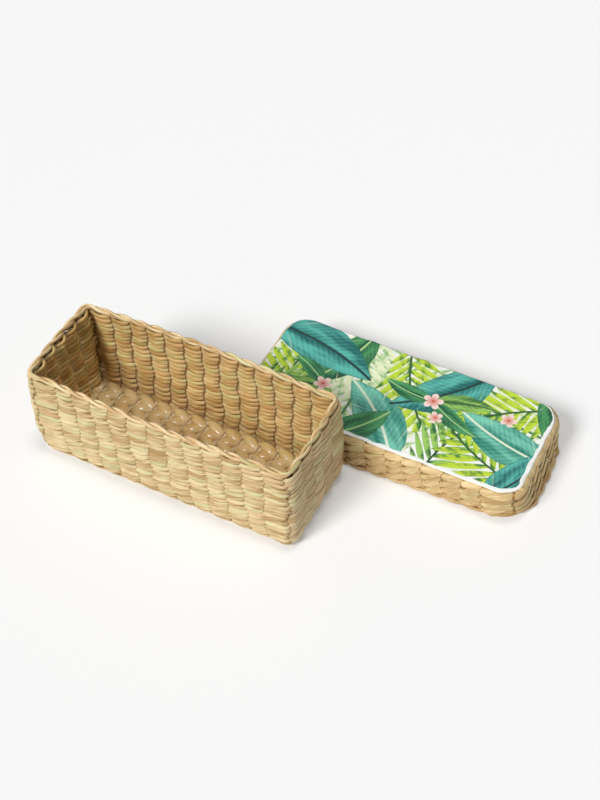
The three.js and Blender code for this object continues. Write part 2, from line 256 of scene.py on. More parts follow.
class Nodes:
    """Adds and joins shader nodes in one tree."""

    def __init__(self, tree: bpy.types.NodeTree) -> None:
        """Keeps the tree that the nodes go into."""
        self.tree = tree

    def feed(self, node: bpy.types.Node, inputs: dict[int | str, Input]) -> None:
        """Joins values to a node's sockets, or writes plain ones on them.

        Args:
            node: The node.
            inputs: What goes into its sockets, by their names or numbers.
        """
        for key, value in inputs.items():
            source = value.socket if isinstance(value, Value) else value
            if isinstance(source, bpy.types.NodeSocket):
                self.tree.links.new(source, node.inputs[key])
            else:
                node.inputs[key].default_value = source

    def add(self, kind: str, inputs: dict[int | str, Input], **settings: object) -> bpy.types.Node:
        """Adds a node.

        Args:
            kind: The node's type name after ShaderNode.
            inputs: What goes into its sockets.
            settings: Properties to set on it.

        Returns:
            The new node.
        """
        node = self.tree.nodes.new("ShaderNode" + kind)
        for key, value in settings.items():
            setattr(node, key, value)
        self.feed(node, inputs)
        return node

    def value(self, kind: str, inputs: dict[int | str, Input], **settings: object) -> Value:
        """Adds a node and gives its first output."""
        return Value(self, self.add(kind, inputs, **settings).outputs[0])

    def math(self, operation: str, *inputs: Input) -> Value:
        """Adds a Math node and gives its result."""
        return self.value("Math", dict(enumerate(inputs)), operation=operation)

    def span(self, value: Input, low: float, high: float, start: float = 0.0, end: float = 1.0) -> Value:
        """Maps a value from one range to another, clamped and eased."""
        inputs = dict(enumerate((value, low, high, start, end)))
        return self.value("MapRange", inputs, interpolation_type="SMOOTHSTEP")

    def mix(self, share: Input, under: Input, over: Input, blend: str = "MIX") -> Value:
        """Lays one colour over another by a share."""
        node = self.add("Mix", {0: share, 6: under, 7: over}, data_type="RGBA", blend_type=blend)
        return Value(self, node.outputs[2])

    def shade(self, colour: Input, code: str, share: Input) -> Value:
        """Multiplies a colour by an ink, by a share."""
        return self.mix(share, colour, self.mix(1.0, colour, ink(code), "MULTIPLY"))

    def flatten(self, vector: Input) -> Value:
        """Drops a coordinate's height."""
        return self.value("VectorMath", {0: vector, 1: (1.0, 1.0, 0.0)}, operation="MULTIPLY")

    def after(self, vector: Input, colour: Input) -> Value:
        """Passes a coordinate on once a colour is known, so that few values are held at a time."""
        next_to_nothing = (1e-9, 1e-9, 1e-9)
        return self.value("VectorMath", {0: colour, 1: next_to_nothing, 2: vector}, operation="MULTIPLY_ADD")

    def stretch(self, vector: Input, scale: Sequence[float]) -> Value:
        """Scales a coordinate by a different amount on each axis."""
        return self.value("Mapping", {"Vector": vector, "Scale": scale}, vector_type="POINT")

    def noise(self, vector: Input, scale: float = 1.0, detail: float = 2.0, rough: float = 0.5) -> Value:
        """Adds a noise texture and gives its value."""
        inputs = {"Vector": vector, "Scale": scale, "Detail": detail, "Roughness": rough}
        return self.value("TexNoise", inputs)

    def attribute(self, name: str) -> tuple[Value, Value, Value]:
        """Reads the three numbers of one of the piece's own attributes."""
        return self.apart(self.add("Attribute", {}, attribute_name=name).outputs["Vector"])

    def apart(self, vector: Input) -> tuple[Value, Value, Value]:
        """Splits a vector into its three numbers."""
        node = self.add("SeparateXYZ", {0: vector})
        return Value(self, node.outputs[0]), Value(self, node.outputs[1]), Value(self, node.outputs[2])


class Group(Nodes):
    """A node group: what it is given is read by name, and what it puts out is set by name."""

    def __init__(self, name: str, inputs: dict[str, str], outputs: dict[str, str]) -> None:
        """Starts the group with named sockets.

        Args:
            name: Its name.
            inputs: Socket types after NodeSocket, by input name.
            outputs: The same for the outputs.
        """
        super().__init__(bpy.data.node_groups.new(name, "ShaderNodeTree"))
        for way, sockets in (("INPUT", inputs), ("OUTPUT", outputs)):
            for socket_name, kind in sockets.items():
                self.tree.interface.new_socket(socket_name, in_out=way, socket_type="NodeSocket" + kind)
        self.source = self.tree.nodes.new("NodeGroupInput")
        self.sink = self.tree.nodes.new("NodeGroupOutput")

    def __getitem__(self, key: str) -> Value:
        """Gives an input's value."""
        return Value(self, self.source.outputs[key])

    def __setitem__(self, key: str, value: Input) -> None:
        """Feeds an output."""
        self.feed(self.sink, {key: value})


class ReedFibre(Group):
    """The colour and grain of a dry reed, on coordinates that follow it, with painted shade inside the tray
    and where the reed is tucked behind its twin.
    """

    # Noise cells per metre along a reed and across it.
    fibre_cells = (30.0, 620.0, 620.0)
    fine_cells = (80.0, 2400.0, 2400.0)
    patch_cells = (38.0, 150.0, 150.0)

    # Inks that paint shade on a reed: a warm shade inside the tray, standing in for shade and bounced light
    # there, and a darker shade where it is tucked behind its twin.
    inner_shade_ink = "FFF2D4"
    tucked_shade_ink = "A88A58"

    def __init__(self) -> None:
        """Builds the group."""
        colours = {"Pale": "Color", "Deep": "Color", "Green": "Color", "Rose": "Color"}
        outputs = {"Colour": "Color", "Roughness": "Float", "Height": "Float"}
        super().__init__("reed_fibre", {**colours, "Gloss": "Float", "Streaks": "Float"}, outputs)
        reed = self.add("Attribute", {}, attribute_name="reed").outputs["Vector"]
        shade, hue, swung = self.attribute("mark")
        fibre = self.noise(self.stretch(reed, self.fibre_cells), detail=3.0, rough=0.6)
        fine = self.noise(self.stretch(reed, self.fine_cells))
        patch = self.noise(self.stretch(reed, self.patch_cells))
        tone = (fibre - 0.5) * self["Streaks"] + (patch - 0.5) * 0.8 + shade
        colour = self.mix(self.span(tone, 0.0, 1.0), self["Deep"], self["Pale"])
        ripeness = hue + patch
        colour = self.mix(self.span(ripeness, 1.05, 1.6, 0.0, 0.5), colour, self["Green"])
        colour = self.mix(self.span(ripeness, 0.85, 0.4, 0.0, 0.45), colour, self["Rose"])
        # Painted shade: the reed's inner side of the tray is drawn warmer and darker, standing in for shade
        # and bounced light there.
        colour = self.shade(colour, self.inner_shade_ink, self.span(swung, -0.2, -0.9))
        # Painted shade: the reed is darkened where it crosses behind its twin, standing in for the shadow in
        # the weave's crevices.
        colour = self.shade(colour, self.tucked_shade_ink, self.span(abs(swung + 0.09), 0.28, 0.0))
        self["Colour"] = self.mix(1.0, colour, self.span(fine, 0.25, 0.75, 0.88, 1.04), "MULTIPLY")
        self["Roughness"] = self["Gloss"] + self.span(fine, 0.2, 0.8, -0.08, 0.1)
        self["Height"] = fibre * 0.7 + fine * 0.3


class PrintedMotif(Group):
    """A printed motif, which lays its own colours over those that it is given."""

    def __init__(self, motif: Motif) -> None:
        """Starts the motif's group."""
        colours = {"Under": "Color", "Light": "Color", "Dark": "Color", "Rib": "Color"}
        numbers = {"Vector": "Vector", "Bend": "Float", "Count": "Float"}
        super().__init__(motif.value, {**colours, **numbers}, {"Over": "Color"})

    def blade(self) -> tuple[Value, Value, Value]:
        """Gives the place along a bent blade.

        Returns:
            The share of its length, the signed place across it and that place's size.
        """
        along, across, _ = self.apart(self["Vector"])
        bow = (along - along * along) * 4.0 * self["Bend"]
        straight = across - bow
        return along, straight, abs(straight)

    def within(self, value: Value, low: float, high: float) -> Value:
        """Gives 1 where a value lies between two others, else 0."""
        return value.over(low) * value.under(high)

    def clamp(self, value: Value) -> Value:
        """Keeps a value between 0 and 1."""
        return self.math("MINIMUM", value.least(0.0), 1.0)

    def arch(self, share: Value, power: float) -> Value:
        """Gives a hump that is 0 at both ends of a share and 1 between."""
        return self.math("SINE", self.clamp(share) * math.pi).least(0.0) ** power

    def inked(self, tone: Value, low: float, high: float) -> Value:
        """Gives the motif's colour, from its dark ink at a low tone to its light one at a high tone."""
        return self.mix(self.span(tone, low, high), self["Dark"], self["Light"])

    def lay_over(self, shown: Value, colour: Value, rib: Value) -> None:
        """Lays the motif over what it is given, where it shows, with its rib or eye drawn on it."""
        self["Over"] = self.mix(shown, self["Under"], self.mix(rib, colour, self["Rib"]))


class BroadLeaf(PrintedMotif):
    """A long entire leaf with a midrib, slanting veins and a few tears."""

    def __init__(self) -> None:
        """Builds the group."""
        super().__init__(Motif.BROAD)
        along, _, size = self.blade()
        outline = self.arch(self.clamp(along) ** 0.8, 0.8)
        wobble = self.noise(self["Vector"], 5.0)
        edge = outline - size + (wobble - 0.5) * 0.12
        veins = (along - size * 0.22) * self["Count"]
        tear_place = self.value("CombineXYZ", {0: veins * 0.9})
        tear = self.noise(tear_place, detail=1.0)
        torn = self.span(tear, 0.64, 0.7) * self.span(size, 0.25, 0.6)
        shown = self.span(edge, 0.0, 0.05) * self.within(along, 0.0, 1.0) * (1.0 - torn)
        furrows = abs(self.math("SINE", veins * math.pi)) ** 0.5
        wash = self.noise(self["Vector"], 1.7, 4.0, 0.55)
        tone = furrows * 0.3 + self.span(wash, 0.28, 0.72, -0.2, 0.8) + size * 0.25
        colour = self.inked(tone, 0.1, 1.15)
        colour = self.mix(self.span(edge, 0.14, 0.02) * 0.55, colour, self["Dark"])
        self.lay_over(shown, colour, self.span(size, 0.075, 0.035))


class Frond(PrintedMotif):
    """A feathered frond, with pointed leaflets down both sides of its rib."""

    def __init__(self) -> None:
        """Builds the group."""
        super().__init__(Motif.FROND)
        along, across, size = self.blade()
        side = across.over(0.0) * 0.5
        turns = (along - size * 0.3) * self["Count"] + side
        number = self.math("FLOOR", turns)
        cell = self.math("FRACT", turns) - 0.5
        root = (number + 0.5) / self["Count"]
        reach = self.arch(root * 0.88 + 0.1, 0.7)
        chance = self.value("TexWhiteNoise", {"W": number + side}, noise_dimensions="1D")
        out = size / (reach * (chance * 0.3 + 0.8)).least(0.01)
        width = self.arch(out * 0.86 + 0.14, 0.8) * 0.45
        leaflet = self.span(width - abs(cell), 0.0, 0.06) * self.within(root, 0.0, 1.0) * out.under(1.0)
        wash = self.noise(self["Vector"], 5.0, 3.0, 0.6)
        tone = self.span(wash, 0.25, 0.6) - cell.over(0.0) * 0.35
        tone = tone - self.span(out, 0.65, 1.1, 0.0, 0.7) - self.span(size, 0.16, 0.0, 0.0, 0.6)
        colour = self.inked(tone, -0.2, 0.8)
        rib = self.span(size, 0.035, 0.02) * self.within(along, -0.1, 0.96)
        self.lay_over(self.math("MAXIMUM", leaflet, rib), colour, rib)


class Blossom(PrintedMotif):
    """A small open flower with soft round petals."""

    def __init__(self) -> None:
        """Builds the group."""
        super().__init__(Motif.BLOSSOM)
        side, up, _ = self.apart(self["Vector"])
        length = self.add("VectorMath", {0: self["Vector"]}, operation="LENGTH")
        radius = Value(self, length.outputs["Value"])
        turn = self.math("ARCTAN2", up, side)
        petal = abs(self.math("COSINE", turn * self["Count"]))
        edge = petal**0.6 * 0.6 + 0.4 - radius
        wash = self.noise(self["Vector"], 3.0, 3.0, 0.6)
        veins = self.math("SINE", turn * 34.0) * 0.08
        tone = self.span(radius, 0.1, 0.9) + veins + (wash - 0.5)
        colour = self.mix(self.span(edge, 0.1, 0.0) * 0.5, self.inked(tone, 0.0, 1.0), self["Dark"])
        self.lay_over(self.span(edge, 0.0, 0.06), colour, self.span(radius, 0.2, 0.12))


class Groups:
    """The effects that several materials or motifs share, each built once."""

    def __init__(self) -> None:
        """Builds all the groups."""
        self.fibre = ReedFibre().tree
        self.motifs = {
            Motif.BROAD: BroadLeaf().tree,
            Motif.FROND: Frond().tree,
            Motif.BLOSSOM: Blossom().tree,
        }


def new_material(name: str) -> tuple[bpy.types.Material, Nodes, bpy.types.Node]:
    """Starts a material.

    Args:
        name: Its name.

    Returns:
        The material, its nodes and its Principled node.
    """
    material = bpy.data.materials.new(name)
    material.use_nodes = True
    return material, Nodes(material.node_tree), material.node_tree.nodes["Principled BSDF"]


@dataclass(frozen=True)
class ReedFinish:
    """The look of one kind of reed.

    Attributes:
        name: The material's name.
        pale: Its lightest colour, as six hexadecimal digits, and so on.
        deep: Its deepest colour.
        green: The colour of reeds cut young.
        rose: The colour of reeds that dried reddish.
        gloss: Roughness in the middle of a reed.
        streaks: How much the fibres differ in tone.
        relief: Height of the grain in metres.
        varnish: Weight of the clear coat.
        varnish_blur: Roughness of the clear coat.
    """

    name: str
    pale: str
    deep: str
    green: str
    rose: str
    gloss: float = 0.5
    streaks: float = 1.0
    relief: float = 0.0005
    varnish: float = 0.0
    varnish_blur: float = 0.2

    def material(self, groups: Groups) -> bpy.types.Material:
        """Builds the material.

        Args:
            groups: The shared node groups.

        Returns:
            The material.
        """
        material, nodes, surface = new_material(self.name)
        inks = {
            "Pale": ink(self.pale),
            "Deep": ink(self.deep),
            "Green": ink(self.green),
            "Rose": ink(self.rose),
        }
        numbers = {"Gloss": self.gloss, "Streaks": self.streaks}
        fibre = nodes.add("Group", {**inks, **numbers}, node_tree=groups.fibre)
        looks = {
            "Base Color": fibre.outputs["Colour"],
            "Roughness": fibre.outputs["Roughness"],
            "Normal": nodes.value("Bump", {"Distance": self.relief, "Height": fibre.outputs["Height"]}),
            "Coat Weight": self.varnish,
            "Coat Roughness": self.varnish_blur,
        }
        nodes.feed(surface, looks)
        return material


STRAW_REED = ReedFinish("straw_reed", "ECD6A6", "B08C52", "CDD49C", "E0B98C", streaks=2.1)
RIM_REED = ReedFinish("rim_reed", "F5E0B0", "B98F54", "D3D49A", "E1B484", streaks=2.2)
STAKE_REED = ReedFinish("stake_reed", "CDA865", "93703A", "A9A061", "A9794A")
GOLDEN_REED = ReedFinish("golden_reed", "EAD19A", "B38C50", "CCC68B", "D5AD7C", streaks=1.7)
# Painted light: the floor reeds are drawn paler than the wall reeds, making up for the shade that the box's
# walls cast on the floor.
VARNISHED_REED = ReedFinish(
    "varnished_reed", "FFF2CE", "E4C48A", "F2EAB4", "FAD8AE", gloss=0.4, varnish=1.0, varnish_blur=0.13
)


@dataclass(frozen=True)
class PrintedLeaf:
    """One motif of the lid's print.

    Attributes:
        motif: What it is.
        place_share: Its root, as shares of the sheet's length and width from its middle.
        turn: The way that it points, in degrees from +X.
        length: From root to tip, or the radius of a blossom.
        half_width: Half its width at the widest.
        inks: Its light, dark and rib colours.
        bend: How far its rib bows, as a share of half its width.
        count: Veins, leaflets or petals.
    """

    motif: Motif
    place_share: tuple[float, float]
    turn: float
    length: float
    half_width: float
    inks: tuple[str, str, str]
    bend: float
    count: float

    def paint(
        self, nodes: Nodes, groups: Groups, spot: Value, under: Value, middle: Vector, size: Vector
    ) -> Value:
        """Paints the motif over what is painted already.

        Args:
            nodes: The print's nodes.
            groups: The shared node groups.
            spot: The place on the object.
            under: The colour painted so far.
            middle: The middle of the sheet.
            size: Its length, width and thickness.

        Returns:
            The colour with the motif.
        """
        across, deep = self.place_share
        lay = {
            "Vector": spot,
            "Location": (middle.x + across * size.x, middle.y + deep * size.y, 0.0),
            "Rotation": (0.0, 0.0, math.radians(self.turn)),
            "Scale": (self.length, self.half_width, 1.0),
        }
        flat = nodes.flatten(nodes.value("Mapping", lay, vector_type="TEXTURE"))
        light, dark, rib = (ink(code) for code in self.inks)
        inks = {"Under": under, "Light": light, "Dark": dark, "Rib": rib}
        shape = {"Vector": flat, "Bend": self.bend, "Count": self.count}
        return nodes.value("Group", {**inks, **shape}, node_tree=groups.motifs[self.motif])


TEAL = ("5FBFB0", "14615F", "1D3F3B")
SEA = ("7CCDB4", "1F7C6C", "DCEBD2")
FOREST = ("4E9E62", "17523A", "A9D28A")
LIME = ("C2DC3E", "3F7F35", "2F5E2E")
MOSS = ("9CCB62", "2E6A3C", "254F33")
CREAM = ("E9F0C9", "8DBB78", "4F8450")
BLUSH = ("F6DCD2", "E29A8C", "C8604F")

LEAVES = (
    PrintedLeaf(Motif.FROND, (-0.56, -0.10), 12.0, 0.165, 0.058, CREAM, 0.15, 10.0),
    PrintedLeaf(Motif.FROND, (0.05, -0.60), 100.0, 0.150, 0.060, CREAM, 0.10, 10.0),
    PrintedLeaf(Motif.FROND, (0.58, 0.10), 178.0, 0.170, 0.058, CREAM, -0.15, 10.0),
    PrintedLeaf(Motif.FROND, (-0.20, 0.62), -84.0, 0.140, 0.056, CREAM, 0.10, 10.0),
    PrintedLeaf(Motif.FROND, (-0.06, 0.60), -62.0, 0.120, 0.044, LIME, -0.2, 10.0),
    PrintedLeaf(Motif.FROND, (0.18, -0.62), 70.0, 0.125, 0.044, MOSS, 0.2, 10.0),
    PrintedLeaf(Motif.FROND, (0.57, 0.52), 212.0, 0.135, 0.046, LIME, -0.2, 10.0),
    PrintedLeaf(Motif.FROND, (-0.34, -0.62), 96.0, 0.120, 0.044, LIME, 0.25, 10.0),
    PrintedLeaf(Motif.FROND, (0.57, -0.42), 158.0, 0.130, 0.044, LIME, 0.2, 10.0),
    PrintedLeaf(Motif.FROND, (-0.57, -0.42), 24.0, 0.110, 0.042, MOSS, -0.2, 9.0),
    PrintedLeaf(Motif.BROAD, (-0.20, 0.60), -112.0, 0.110, 0.022, FOREST, 0.3, 16.0),
    PrintedLeaf(Motif.BROAD, (-0.55, 0.34), -14.0, 0.140, 0.030, TEAL, 0.3, 18.0),
    PrintedLeaf(Motif.BROAD, (0.08, -0.60), 134.0, 0.125, 0.028, SEA, -0.3, 17.0),
    PrintedLeaf(Motif.BROAD, (0.25, 0.62), -134.0, 0.130, 0.028, TEAL, 0.3, 18.0),
    PrintedLeaf(Motif.BROAD, (0.55, -0.10), 164.0, 0.115, 0.026, SEA, 0.25, 16.0),
    PrintedLeaf(Motif.BROAD, (0.40, -0.60), 66.0, 0.095, 0.023, TEAL, -0.35, 14.0),
    PrintedLeaf(Motif.BROAD, (-0.18, -0.60), 50.0, 0.085, 0.019, FOREST, -0.3, 13.0),
    PrintedLeaf(Motif.BROAD, (-0.52, -0.58), 44.0, 0.090, 0.020, TEAL, 0.3, 14.0),
    PrintedLeaf(Motif.BROAD, (0.44, 0.60), -70.0, 0.080, 0.018, FOREST, 0.3, 13.0),
    PrintedLeaf(Motif.BROAD, (0.10, 0.12), 15.0, 0.070, 0.012, MOSS, 0.3, 10.0),
    PrintedLeaf(Motif.BROAD, (0.10, 0.12), -24.0, 0.066, 0.011, FOREST, -0.3, 10.0),
    PrintedLeaf(Motif.BROAD, (0.10, 0.12), 172.0, 0.060, 0.011, FOREST, 0.3, 10.0),
    PrintedLeaf(Motif.BROAD, (-0.27, -0.10), 200.0, 0.060, 0.011, MOSS, 0.3, 10.0),
    PrintedLeaf(Motif.BROAD, (-0.27, -0.10), 150.0, 0.052, 0.010, FOREST, -0.3, 10.0),
    PrintedLeaf(Motif.BLOSSOM, (0.10, 0.12), 20.0, 0.012, 0.012, BLUSH, 0.0, 2.5),
    PrintedLeaf(Motif.BLOSSOM, (0.135, -0.03), 50.0, 0.009, 0.009, BLUSH, 0.0, 2.5),
    PrintedLeaf(Motif.BLOSSOM, (-0.27, -0.10), 65.0, 0.011, 0.011, BLUSH, 0.0, 2.5),
    PrintedLeaf(Motif.BLOSSOM, (0.36, 0.20), 10.0, 0.010, 0.010, BLUSH, 0.0, 2.5),
)


@dataclass(frozen=True)
class PrintFinish:
    """The look of the lid's cloth: a leaf print on white, sealed and a little shiny.

    Attributes:
        name: The material's name.
        paper: The colour of the bare cloth.
        wash: The colour of the clouds between the leaves.
        gloss: Roughness where the cloth is smoothest, and gloss_spread how much rougher it gets.
        relief: Height of the crinkles in metres.
        raggedness: How far the print's edge strays, in metres.
        print_edge: Distances from the cloth's edge at which the print starts and is full.
    """

    name: str = "leaf_print"
    paper: str = "F4F5F1"
    wash: str = "DDE6DC"
    gloss: float = 0.42
    gloss_spread: float = 0.2
    relief: float = 0.0003
    raggedness: float = 0.0056
    print_edge: tuple[float, float] = (0.0028, 0.0032)

    def material(self, groups: Groups, middle: Vector, size: Vector) -> bpy.types.Material:
        """Builds the material.

        Args:
            groups: The shared node groups.
            middle: The middle of the sheet.
            size: Its length, width and thickness.

        Returns:
            The material.
        """
        material, nodes, surface = new_material(self.name)
        place = Value(nodes, nodes.add("TexCoord", {}).outputs["Object"])
        cloud = nodes.noise(place, 60.0, 3.0, 0.6)
        painted = nodes.mix(nodes.span(cloud, 0.45, 0.7), ink(self.paper), ink(self.wash))
        spot = place
        for leaf in LEAVES:
            spot = nodes.after(spot, painted)
            painted = leaf.paint(nodes, groups, spot, painted, middle, size)
        margin = nodes.attribute("print")[0]
        shown = nodes.span(nodes.noise(place, 70.0) * self.raggedness + margin, *self.print_edge)
        crinkle = nodes.noise(place, 420.0, 4.0, 0.65)
        looks = {
            "Base Color": nodes.mix(shown, ink(self.paper), painted),
            "Normal": nodes.value("Bump", {"Distance": self.relief, "Height": crinkle}),
            "Roughness": nodes.span(crinkle, 0.3, 0.7, self.gloss, self.gloss + self.gloss_spread),
        }
        nodes.feed(surface, looks)
        return material


@dataclass(frozen=True)
class Stop:
    """One stop of a swept reed.

    Attributes:
        lay: Lays a unit circle in the reed's section there.
        along: Distance from the start of the reed's fibre pattern.
        half_height: Half the section's height.
        half_depth: Half its depth.
        mark: Shade, hue and how far out the reed stands, from -1 inside the tray to 1.
    """

    lay: Matrix
    along: float
    half_height: float
    half_depth: float
    mark: Vector

    @classmethod
    def laid(
        cls,
        point: Vector,
        bearing: Bearing,
        half_height: float,
        half_depth: float,
        along: float,
        mark: Vector,
    ) -> "Stop":
        """Makes a stop at a point.

        Args:
            point: The reed's middle.
            bearing: The ways across the reed, through it and along it.
            half_height: Half the section's height.
            half_depth: Half its depth.
            along: Distance from the start of the reed's fibre pattern.
            mark: Shade, hue and how far out the reed stands.

        Returns:
            The stop.
        """
        across, depth, forward = bearing
        lay = Matrix((across * half_height, depth * half_depth, forward)).transposed().to_4x4()
        lay.translation = point
        return cls(lay, along, half_height, half_depth, mark)


class ReedMesh:
    """Gathers swept reeds in one mesh."""

    # Ribs round a reed, their height as a share of its half width, and its fibres' twist in radians per
    # metre.
    ribs = 7
    ribbing = 0.045
    twist = 70.0

    def __init__(self) -> None:
        """Starts empty."""
        self.bm = bmesh.new()

    def sweep(self, stops: Sequence[Stop], sides: int, is_ring: bool) -> None:
        """Rolls a flat grid into a tube along its stops.

        Args:
            stops: The stops, in order.
            sides: Corners of the section.
            is_ring: True where the last stop lies on the first, False to cap both ends.
        """
        bm = bmesh.new()
        reed = bm.verts.layers.float_vector.new("reed")
        mark = bm.verts.layers.float_vector.new("mark")
        last = len(stops) - 1
        bmesh.ops.create_grid(bm, x_segments=last, y_segments=sides, size=1.0)
        for vert in bm.verts:
            stop = stops[round((vert.co.x + 1) / 2 * last)]
            turn = (vert.co.y + 1) * math.pi
            lay = turn + stop.along * self.twist
            rib = 1 + self.ribbing * math.cos(self.ribs * turn)
            vert[reed] = (stop.along, math.cos(lay) * stop.half_height, math.sin(lay) * stop.half_depth)
            vert[mark] = stop.mark
            vert.co = stop.lay @ Vector((math.cos(turn) * rib, math.sin(turn) * rib, 0.0))
        bmesh.ops.remove_doubles(bm, verts=bm.verts[:], dist=WELD_DISTANCE)
        if not is_ring:
            bmesh.ops.holes_fill(bm, edges=[edge for edge in bm.edges if edge.is_boundary], sides=sides)
        part = mesh_of(bm, "part")
        self.bm.from_mesh(part)
        bpy.data.meshes.remove(part)


@dataclass(frozen=True)
class Twining:
    """How two strands go round each other and the stakes.

    Between two stakes one strand dives to the far side, bunched up and fast, while its twin comes back flat
    and slowly.

    Attributes:
        swing: How far a strand stands off the row's middle line over a stake.
        rise: How far above that line it dives.
        heights: Half its height over a stake, where it dives and where it comes back.
        depths: Half its thickness at the same places.
        slant: The hand of the twist.
        haste: How much faster it dives than it comes back, as a share.
        end_swing: The swing round the strips of the end walls, as a multiple.
        inner: The swing and the thickness on the tray's inner side, as a multiple.
        slimness: The height there, as a multiple.
        dwell: Under 1, the strand lies longer over a stake and crosses faster.
        taper: Over 1, a strand is at its full size only near the stake's middle.
        is_bare: True where the pair lies on top of the wall, with nothing tucked away.
        unevenness: How much its sizes differ from stake to stake, as a share.
        steps: Stops from one stake to the next.
        sides: Corners of the section.
    """

    swing: float
    rise: float
    heights: tuple[float, float, float]
    depths: tuple[float, float, float]
    slant: Slant = Slant.RISING
    haste: float = 0.0
    end_swing: float = 1.0
    inner: float = 1.0
    slimness: float = 1.0
    dwell: float = 0.75
    taper: float = 0.6
    is_bare: bool = False
    unevenness: float = 0.09
    steps: int = 10
    sides: int = 10

    def swung(self, angle: float) -> float:
        """Gives how far out the strand stands at an angle of the twist, from -1 to 1."""
        over = math.cos(angle - self.haste * math.cos(angle))
        return math.copysign(abs(over) ** self.dwell, over)

    def inside(self, multiple: float, angle: float) -> float:
        """Eases from 1 on the tray's outer side to a multiple on its inner one, at an angle of the twist."""
        return between(1.0, multiple, max(0.0, -self.swung(angle)))

    def section(self, angle: float) -> tuple[float, float]:
        """Gives the strand's section.

        Args:
            angle: The angle of the twist.

        Returns:
            Half its height and half its thickness.
        """
        cross = 1 if math.sin(angle) > 0 else 2
        share = abs(math.cos(angle)) ** self.taper
        height = between(self.heights[cross], self.heights[0], share)
        return height, between(self.depths[cross], self.depths[0], share)


BOX_ROW = Twining(
    swing=0.0022,
    rise=0.0017,
    heights=(0.0032, 0.0024, 0.0034),
    depths=(0.0011, 0.0018, 0.0012),
    haste=0.5,
    end_swing=1.8,
    inner=1.55,
    slimness=0.96,
    taper=0.8,
)
BOX_EDGE = Twining(
    swing=0.0015, rise=0.0010, heights=(0.0040, 0.0026, 0.0030), depths=(0.0012, 0.0016, 0.0013)
)
BOX_BORDER = Twining(
    swing=0.0019,
    rise=0.0015,
    heights=(0.0020, 0.0018, 0.0018),
    depths=(0.0018, 0.0017, 0.0017),
    slant=Slant.FALLING,
    dwell=1.0,
    is_bare=True,
)
FLOOR_ROW = Twining(
    swing=0.0012,
    rise=0.0043,
    heights=(0.0073, 0.0034, 0.0046),
    depths=(0.0018, 0.0019, 0.0016),
    haste=0.45,
    inner=1.9,
    dwell=0.55,
    taper=1.5,
    unevenness=0.05,
    steps=12,
    sides=12,
)
LID_ROW = Twining(
    swing=0.0019,
    rise=0.0036,
    heights=(0.0058, 0.0028, 0.0047),
    depths=(0.0014, 0.0020, 0.0014),
    haste=0.5,
    inner=1.2,
    dwell=0.8,
    taper=1.5,
)
LID_EDGE = Twining(
    swing=0.0014, rise=0.0010, heights=(0.0046, 0.0032, 0.0040), depths=(0.0016, 0.0018, 0.0016)
)
LID_BORDER = replace(BOX_BORDER, rise=0.0004, heights=(0.0024, 0.0022, 0.0022), unevenness=0.03)


